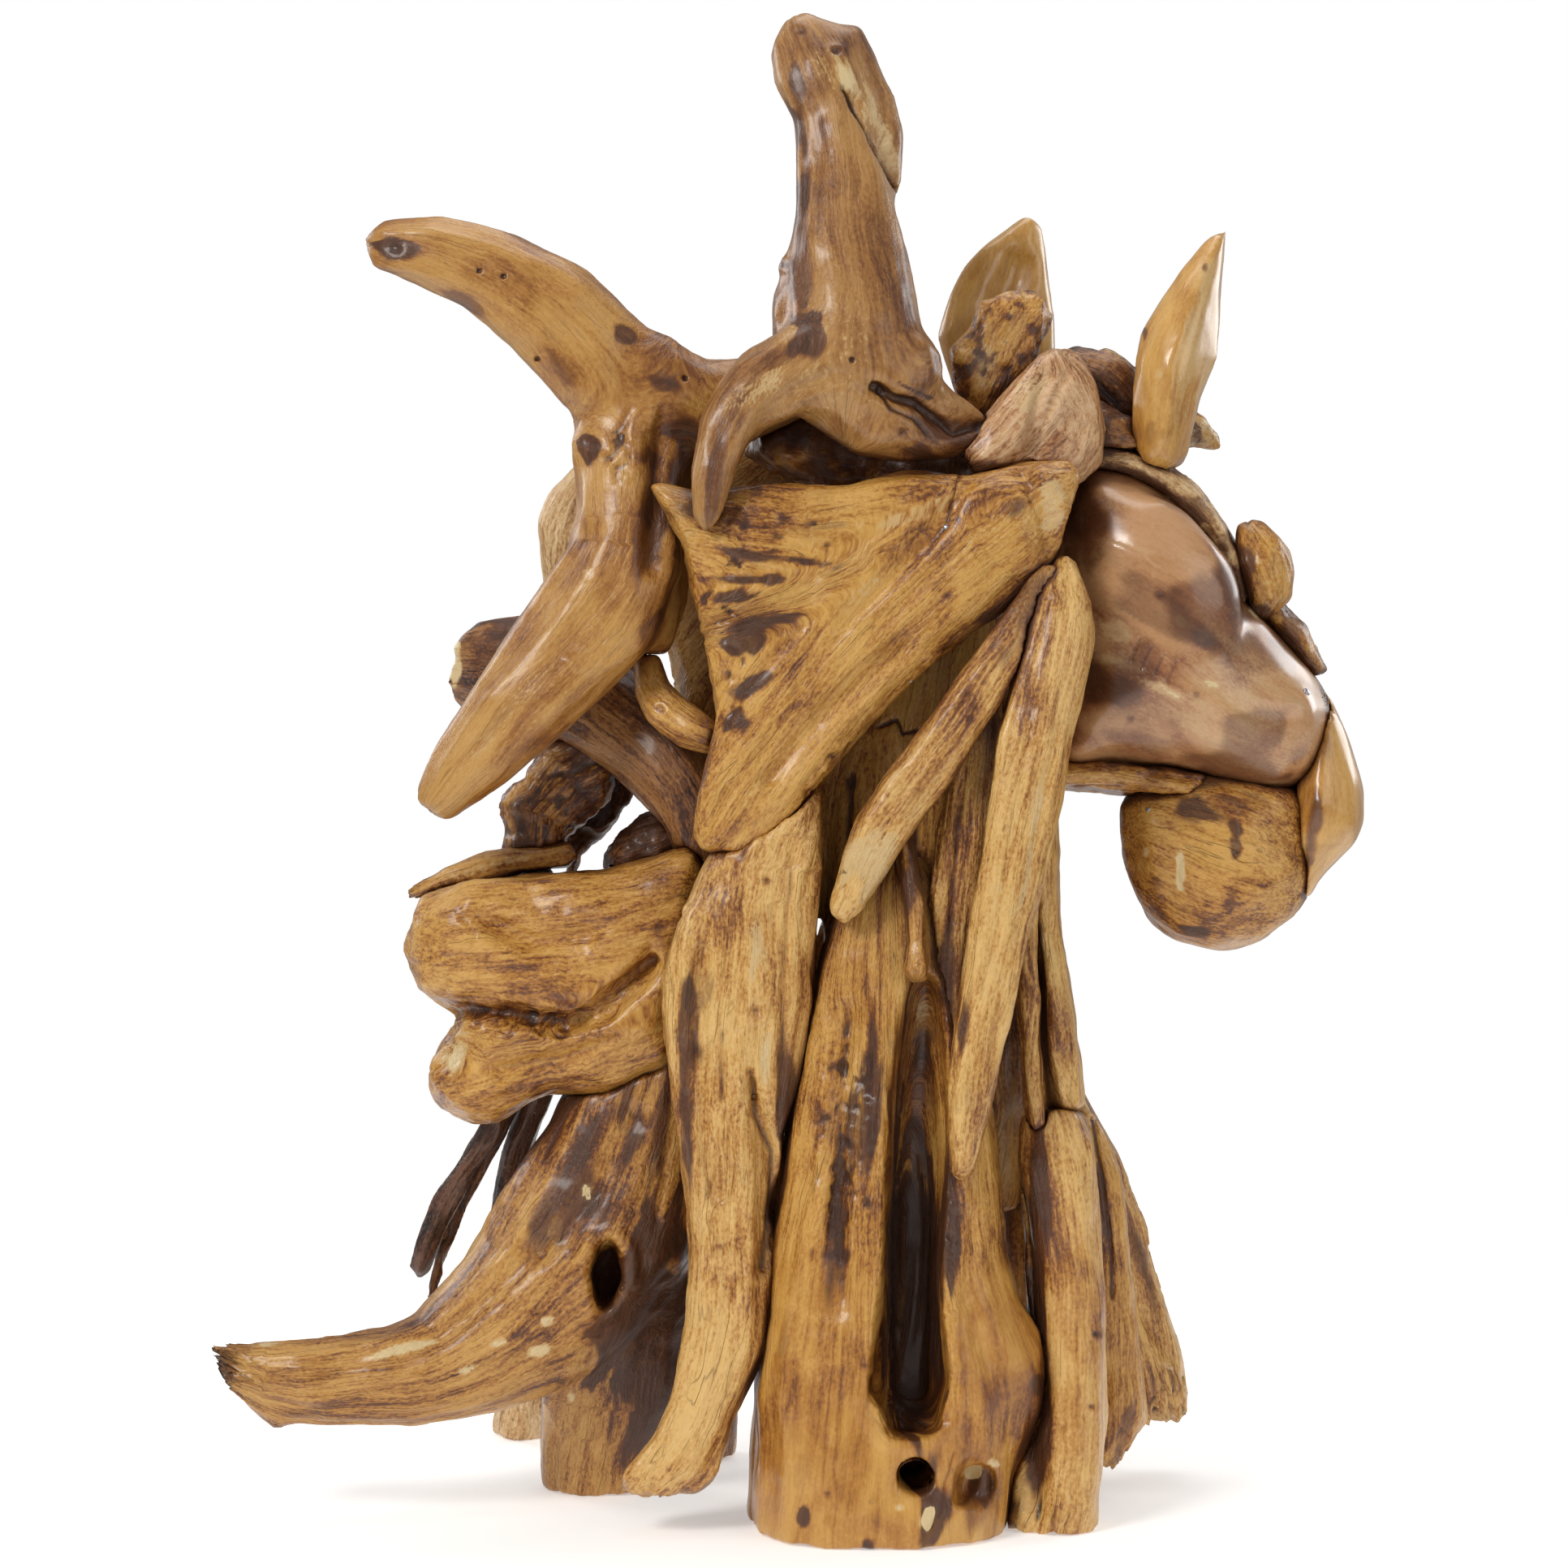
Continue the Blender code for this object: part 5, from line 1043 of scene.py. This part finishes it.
cheek.ridge([(128.4, 58), (130.8, 62), (131.0, 67)], 1.6, 3)
each(cheek.groove,
    ([(112, 79.6), (102, 87.4), (94.6, 96.4)], 0.8, 2.0, 0.2), ([(90, 88), (94, 83), (100, 76)], 0.8, 2.0, 0.3),
    ([(120, 71), (110, 78.4), (100, 88)], 0.6, 1.4, 0.15),
)
cheek.knot(116.8, 73.4, 0.8, 0.8, 0.8, 0.4)
each(cheek.bark, (104, 93, 1.6, 8, 2.6, 8, 42), (118, 80.4, 6, 1.4, 2.2, 8, -32))
each(cheek.stain,
    (105, 92.6, 1.0, 7, 0.5, 42), (122.6, 75.6, 3.0, 1.0, 0.5, -32), (124.6, 62.4, 2.6, 1.6, 0.5, -30),
)
each(cheek.bleach, (107, 72, 5, 1.2, 0.5, -36), (112, 63.6, 5, 0.9, 0.5, -20), (129.8, 63, 1.2, 5, 0.6))
cheek.set_down(golden)

# ---------------------------------------------------------------- straps
# Two long strips of root that run down from the head, one straight down over the trunk and one across.

long_strap = Wood(
    "long_strap", 2.5,
    [(131.2, 69.2, -14, 1.6), (131.0, 76, -16, 4.2), (128.2, 88, -18, 4.6), (126.0, 100, -19, 4.2),
     (123.8, 112, -19, 3.8), (121.4, 124, -20, 3.3), (119.6, 134, -21, 2.6), (118.5, 144.4, -21, 1.7)],
    board=True, ease=18,
)
long_strap.weather(flutes=1.5, lines=1.1, splits=1.4, share=0.15)
each(long_strap.groove,
    ([(129.4, 74), (127.2, 84), (125.6, 98), (123.8, 110), (121.4, 122)], 0.8, 2.0, 0.15),
    ([(131.4, 80), (129.6, 94), (127.2, 106), (125, 116)], 0.6, 1.6, 0.15),
)
each(long_strap.stain, (126.4, 84, 1.6, 7, 0.5), (118.6, 127, 1.0, 5, 1.0, 8), (119.8, 136, 1.0, 4, 0.4))
long_strap.knot(117.8, 141, 0.9, 0.8, 0.8, 0.4)
long_strap.bleach(127.8, 100, 1.0, 10, 0.6, 10)
long_strap.set_down(honey)

cross_strap = Wood(
    "cross_strap", 2.4,
    [(129.2, 70.2, -15, 1.8), (126.0, 77.4, -17, 2.9), (120.6, 85.6, -18, 3.2), (114.6, 94.4, -18, 3.4),
     (108.4, 103, -18, 3.4), (103.8, 112.4, -18, 2.0)],
    board=True, ease=16,
)
cross_strap.weather(flutes=1.4, lines=0.9, splits=1.2, share=0.15)
cross_strap.groove([(124, 80), (116, 91), (108, 102)], 0.6, 1.2, 0.1)
cross_strap.stained += 0.35 * np.clip((96 - cross_strap.row) / 20, 0, 1)
each(cross_strap.stain, (119.4, 88.4, 0.7, 0.7, 0.9), (112, 95.6, 0.5, 0.9, 0.8), (118.6, 95, 2.4, 1.2, 0.4, -50))
cross_strap.bark(105, 109.6, 2.4, 3.4, 1.0, 7)
cross_strap.bleach(107, 106, 3, 4, 0.6)
cross_strap.set_down(honey)

# ---------------------------------------------------------------- far side of the mane
# Plain boards close the far side, in keeping with the near one.

for node, line in (
    ("back_mane_slab", [(128, 60, 14, 8), (110, 70, 14, 12), (96, 84, 14, 10), (88, 106, 14, 5)]),
    ("back_strap", [(127, 70, 14.5, 2.0), (121, 84, 16, 4.0), (106, 112, 16, 3.8), (99, 126, 18, 2.4)]),
    ("back_front_strap",
     [(128, 80, 11, 2.6), (126, 94, 14, 4.0), (124.6, 110, 15, 4.0), (121, 144, 17, 3.2), (120, 156, 18.5, 1.8)]),
):
    board = Wood(node, 4.1, line, board=True, ease=10)
    board.weather(flutes=2.6, lines=1.2, dents=1.6, splits=2.6, share=0.3)
    board.set_down(honey)

# ---------------------------------------------------------------- head
# The polished block of the cheek and skull, sanded through to red-brown heartwood, and the two blocks of the
# muzzle. Chisel marks, knots, gold specks and a pale seam show in the polish.

chisel_marks = [[(column, row), (column - 1.2, row + 2.6)]
                for column, row in ((140.4, 78.8), (141.8, 79.8), (143.4, 80.8), (145.0, 81.6))]
seam = [(135.2, 66.4), (138.0, 67.2), (141.0, 68.6), (144.2, 71.4)]
head = Wood(
    "head_block", 2.8,
    [(131, 72, 0, 12), (140, 76, 0, 14), (150, 83, 0, 13), (163, 91, 0, 8)],
    board=True, ease=70, crisp=[*chisel_marks, seam, [(143, 73.4)], [(145.6, 77)]],
)
head.lift += 0.9 * head.lumps(70, 31, 2)
head.stained += np.clip(head.lumps(60, 32) * 1.1 + 0.15, 0, 0.6)
head.bleached += np.clip(head.lumps(50, 33) * 0.5 - 0.2, 0, 0.2)
for mark in chisel_marks:
    head.groove(mark, 0.36, 1.6, 0.55)
head.groove(seam, 0.22, 0.5, 0.05)
each(head.bleach, (138, 67.0, 4.4, 0.3, 0.45, 14), (142.6, 69.8, 2.4, 0.3, 0.4, 40))
each(head.knot, (143.0, 73.4, 0.8, 0.3, 0.5, 0.8), (147.4, 85.6, 0.7, 0.3, 0.5, 0.7))
for column, row, wide, tall in ((145.5, 76.4, 0.8, 1.0), (153.6, 75.4, 1.4, 0.6), (149.2, 84.2, 1.0, 0.4),
                                (138.0, 77.6, 1.6, 1.2), (137.0, 81.4, 3.0, 0.8), (142.2, 84.6, 3.0, 0.5)):
    head.bleach(column, row, wide, tall, 0.8, 20)
for column, row, wide, tall, amount, turn in (
    (134, 66, 3, 8, 0.5, 10), (144, 76, 7, 2.4, 0.45, 35), (152, 72, 2, 6, 0.5, -30), (136.6, 84, 4, 3, 0.6, 20),
    (139.4, 88.6, 1.2, 0.9, 0.9, 0), (150, 81, 5, 1.6, 0.35, 40), (160, 97, 3, 2, 0.5, 0), (140, 91, 8, 1.2, 0.4, 6),
):
    head.stain(column, row, wide, tall, amount, turn)
# Painted highlight: the broad pale haze of a lamp's reflection on the lower right of the muzzle, put in as paler
# colour.
head.bleach(153, 84, 7, 8, 0.42, 30)
head.bleached += 0.25 * np.clip((head.row - 82) / 10, 0, 1) * np.clip((head.column - 140) / 20, 0, 1)
head.set_down(polished)

chin_crack = [(152.6, 98.4), (153.0, 104), (152.2, 110)]
chin = Wood(
    "chin_block", 2.8, [(139, 101, 5, 6), (147, 104, 5, 9), (155, 107, 5, 9), (161, 109, 5, 6)], board=True,
    ease=40, crisp=[chin_crack, [(145.4, 106), (145.2, 109.6)]],
)
chin.weather(flutes=0.9, lines=0.5, dents=1.0, splits=0.9, share=0.0)
chin.groove([(145.6, 105.6), (145.0, 107.6), (145.6, 109.8)], 0.35, 1.4, 0.3)
each(chin.bleach, (145.4, 107.6, 0.6, 2.2, 1.6), (141.2, 105.0, 0.4, 0.8, 1.2))
each(chin.stain,
    (147.8, 114.6, 2.2, 0.9, 1.2), (152.2, 104.4, 0.8, 2.2, 0.8), (151.6, 111.4, 1.2, 2.2, 0.8),
    (142.4, 110.6, 1.2, 3.0, 0.6), (146.0, 100.6, 2.4, 2.4, 0.35), (150, 99.4, 7, 1.2, 0.5),
)
chin.groove(chin_crack, 0.25, 1.0, 0.3)
chin.set_down(golden)

nose = Wood(
    "nose_block", 2.8, [(162, 84, 6, 3), (165, 94, 6, 4), (165, 102, 6, 4), (160, 111, 6, 3)], board=True, ease=30,
)
nose.lift += 0.8 * nose.lumps(50, 34, 2)
each(nose.stain, (161.4, 104, 0.9, 8, 0.9, 10), (163.4, 92, 1.6, 4, 0.3))
nose.bleach(160.8, 104, 0.5, 2.6, 0.8)
nose.set_down(amber)

# ---------------------------------------------------------------- strips on the head
# Thin strips of root cover the joints between the blocks, and a short knot stands on the brow.

for node, finish, slot, line in (
    ("jaw_strip", golden, "pale_teak", [(129, 95.4, 2, 1.6), (136, 95.4, 2, 1.6), (148.4, 97.4, 3, 2.2)]),
    ("brow_strip", pale, "pale_teak",
     [(132.6, 55.6, 4, 1.6), (138.8, 56.8, 4, 1.5), (145.6, 60.6, 4, 1.6), (150.2, 66.4, 4, 1.4),
      (153.2, 73.6, 4, 1.1)]),
    ("nose_strip", golden, "honey_teak", [(155.8, 74.4, 5, 1.2), (159.4, 78.2, 5, 1.3), (162.8, 82.8, 5, 0.9)]),
):
    strip = Wood(node, 2.5, line, board=True, ease=8)
    strip.weather(flutes=1.8, lines=1.2, splits=1.8, share=0.3)
    strip.lift += 1.2 * strip.lumps(14, 39)
    strip.stained += np.clip(strip.lumps(26, 35), 0, 0.5)
    strip.set_down(finish)

forelock = Wood(
    "forelock_knot", 2.1, [(154.1, 65.4, 1, 1.8), (155.4, 68.6, 1, 3.2), (156.4, 72.2, 1, 2.8),
                           (155.6, 75.4, 1, 1.5)],
    ease=8,
)
forelock.weather(flutes=1.2, lines=0.8, splits=1.0)
each(forelock.groove,
    ([(154.4, 66.4), (154.6, 70), (156.2, 74.2)], 0.5, 2.0, 0.6),
    ([(157.4, 67.6), (157.0, 70.4), (158.0, 73.0)], 0.4, 1.6, 0.4),
)
each(forelock.stain, (153.2, 72, 1.0, 4.0, 0.8), (155.0, 75.6, 1.4, 0.8, 0.6))
forelock.set_down(golden)

# ---------------------------------------------------------------- ears
# Two carved leaves of smooth orange wood, one seen on edge and one on its hollow face.

near_ear = Wood(
    "near_ear", 2.3, [(142.8, 56.8, -2, 3.0), (143.6, 49.6, -2, 4.0), (145.3, 42.4, -1, 4.6), (147.6, 35.2, 0, 2.8),
                      (150.8, 28.4, 0, 0.5)],
    board=True, ease=14,
)
near_ear.lift += 0.7 * near_ear.lumps(40, 36, 2)
near_ear.ridge([(150.2, 29.5), (147.4, 36), (144.6, 44), (143.4, 54)], 0.9, 1.6)
each(near_ear.stain, (143.5, 53.5, 2.6, 1.6, 0.4), (140.9, 40.6, 0.4, 1.0, 1.2), (148.4, 33.0, 0.5, 0.9, 1.0))
# The first patch is painted light: the ear's right face, which the lamps light, is made paler than its left face,
# which lies in shade.
each(near_ear.bleach, (147.4, 42, 2.0, 10, 0.9, 12), (142.6, 46, 0.5, 0.8, 0.9))
near_ear.set_down(amber)

far_ear = Wood("far_ear", 2.5, [(123, 57, 15, 5), (123, 44, 15, 6), (125, 35, 15, 4), (126.6, 27, 15, 2)],
               board=True, ease=24)
far_ear.lift += 0.7 * far_ear.lumps(40, 37, 2)
far_ear.groove([(125.6, 30), (123.4, 37), (122.4, 46)], 1.6, 1.6, 0.0)
far_ear.bleach(128.9, 38, 0.7, 9, 0.7, -6)
far_ear.stain(120.0, 46.4, 2.4, 1.0, 0.4, -30)
far_ear.set_down(amber)

# ---------------------------------------------------------------- poll
# The short pieces that tie the crest root to the head: a pale forked root, a mottled plate and three dark
# weathered ends.

fork = Wood(
    "poll_fork", 2.2,
    [(130.2, 44.8, -5, 2.6), (127.4, 49.2, -8, 3.4), (124.0, 53.6, -10, 3.6), (119.8, 57.0, -11, 3.0)],
    [(130.4, 47, -6, 4.0), (131.4, 51, -6, 4.0), (131.0, 55.6, -7, 4.4), (127.0, 58.0, -9, 2.6)],
    ease=16,
)
fork.weather(flutes=1.4, lines=0.8, splits=0.9, share=0.1)
each(fork.groove,
    ([(131.6, 46), (129.0, 51), (127.2, 57)], 0.6, 3, 0.5),
    ([(126.2, 50.4), (124.8, 53.4), (123.0, 56.4)], 0.4, 1.6, 0.3),
)
each(fork.stain, (120.8, 57.4, 2.2, 1.4, 0.6), (131.8, 50, 1.4, 3.4, 0.4))
fork.bleach(127.4, 48.4, 3, 2, 0.4, -50)
fork.set_down(rosy)

for node, finish, slot, line in (
    ("tan_plate", golden, "golden_teak", [(119, 51, 0, 3), (124, 43, 0, 3), (128, 37, 0, 2)]),
    ("crown_cap", brown, "brown_teak", [(131, 44, 5, 2), (137, 47, 5, 3), (141, 52, 5, 2)]),
    ("crown_wedge", brown, "brown_teak", [(132, 54, 0, 3), (142, 56, 0, 3)]),
    ("crown_stub", golden, "golden_teak", [(140.6, 51.6, 8, 2.6), (146.6, 52.8, 10, 2.2), (150.4, 55.2, 11, 0.6)]),
):
    piece = Wood(node, 2.2, line, board=True, ease=8)
    piece.weather(flutes=1.4, lines=1.0, dents=1.6, splits=1.8, share=0.35)
    piece.lift += 1.0 * piece.lumps(14, 41)
    piece.stained += np.clip(piece.lumps(13, 38) * 0.9 + 0.15, 0, 0.8)
    piece.bleached += np.clip(piece.lumps(22, 42) * 0.9, 0, 0.6)
    piece.set_down(finish)

# ---------------------------------------------------------------- nails
# Four of the nails and screws that hold the pieces show: a bright screw in the muzzle, two nails in the cheek
# slab and one in the chin block. Each is a flattened round head, sunk halfway into the worked skin.

steel = Finish("nail_steel")
scratch = steel.noise(steel.scaled(steel.node("TexCoord", "Object"), 900, 900, 900), 2)
steel.feed("Roughness", scratch * 0.4 + 0.15)
steel.feed("Base Color", steel.node("ValToRGB", "Color", stops=[(0, (0.20, 0.19, 0.20)), (1, (0.62, 0.64, 0.70))],
                                   Fac=scratch))
steel.shader.inputs["Metallic"].default_value = 1.0

for name, wood, column, row, size in (
    ("muzzle_screw", head, 161.0, 85.4, 4.0), ("cheek_nail", cheek, 116.4, 64.8, 2.6),
    ("cheek_nail_low", cheek, 112.4, 84.2, 2.2), ("chin_nail", chin, 141.6, 99.6, 2.4),
):
    place, facing = wood.surface(column, row)
    bpy.ops.object.select_all(action="DESELECT")
    bpy.ops.mesh.primitive_uv_sphere_add(segments=20, ring_count=12, radius=size / 1000)
    nail = bpy.context.active_object
    nail.name = name
    bpy.ops.object.mode_set(mode="EDIT")
    bpy.ops.transform.resize(value=(1, 1, 0.45), center_override=(0, 0, 0))
    lean = math.acos(max(-1, min(1, facing[2])))
    bpy.ops.transform.rotate(value=-lean, orient_axis="Y", center_override=(0, 0, 0))
    bpy.ops.transform.rotate(value=-math.atan2(facing[1], facing[0]), orient_axis="Z", center_override=(0, 0, 0))
    bpy.ops.transform.translate(value=tuple(place))
    bpy.ops.object.mode_set(mode="OBJECT")
    bpy.ops.object.shade_smooth()
    nail.data.materials.append(steel.material)
    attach(nail, "root")

# ---------------------------------------------------------------- floor, lights and camera
# A plain pale floor that fades into the white studio, soft boxes from the front and sides, and the camera
# where the photographer stood.

bpy.ops.mesh.primitive_circle_add(vertices=96, radius=2.6, fill_type="NGON", location=(0, 0, -0.0005))
floor = bpy.context.active_object
floor.name = "studio_floor"
paper = Finish("white_paper")
place = paper.node("TexCoord", "Object")
reach = paper.node("VectorMath", "Value", {"operation": "LENGTH"}, Vector=place)
paper.shader.inputs["Base Color"].default_value = (0.88, 0.88, 0.87, 1)
paper.shader.inputs["Roughness"].default_value = 0.9
paper.shader.inputs["Emission Color"].default_value = (1, 1, 1, 1)
paper.shader.inputs["Emission Strength"].default_value = 0.38
paper.feed("Alpha", ((2.4 - reach) / 1.2).held())
floor.data.materials.append(paper.material)

for name, place, aim, size, power, warmth in (
    ("key", (-1.9, -2.5, 2.5), (0, 0, 0.75), 1.1, 70, (1, 0.985, 0.96)),
    ("fill", (2.4, -2.2, 1.5), (0, 0, 0.7), 2.2, 22, (1, 0.99, 0.97)),
    ("top", (0.2, 0.3, 3.0), (0, 0, 0.8), 1.8, 24, (1, 1, 1)),
    ("rim_left", (-2.3, 1.6, 1.8), (0, 0, 0.8), 1.2, 20, (1, 1, 1)),
    ("rim_right", (2.4, 1.4, 1.6), (0, 0, 0.8), 1.2, 20, (1, 1, 1)),
):
    bpy.ops.object.light_add(type="AREA", location=place)
    lamp = bpy.context.active_object
    lamp.name = name
    lamp.data.shape = "SQUARE"
    lamp.data.size = size
    lamp.data.energy = power
    lamp.data.color = warmth
    away = np.array(place) - np.array(aim)
    lamp.rotation_euler = (math.acos(away[2] / np.linalg.norm(away)), 0, math.atan2(away[1], away[0]) + math.pi / 2)

world = bpy.data.worlds.new("white_studio")
bpy.context.scene.world = world
world.use_nodes = True
sky = world.node_tree.nodes["Background"]
sky.inputs["Color"].default_value = (1, 1, 1, 1)
seen = world.node_tree.nodes.new("ShaderNodeLightPath")  # white to the camera, dimmer as a light
soft = world.node_tree.nodes.new("ShaderNodeMapRange")
soft.inputs["To Min"].default_value = 0.30
soft.inputs["To Max"].default_value = 1.0
world.node_tree.links.new(seen.outputs["Is Camera Ray"], soft.inputs["Value"])
world.node_tree.links.new(soft.outputs["Result"], sky.inputs["Strength"])

bpy.ops.object.camera_add(location=tuple(EYE), rotation=(math.pi / 2 - TILT, 0, 0))
camera = bpy.context.active_object
camera.name = "photographer"
camera.data.sensor_width = 36
camera.data.lens = VIEW_DISTANCE / (2 * MIDDLE) * camera.data.sensor_width
bpy.context.scene.camera = camera
bpy.context.scene.view_settings.view_transform = "Standard"
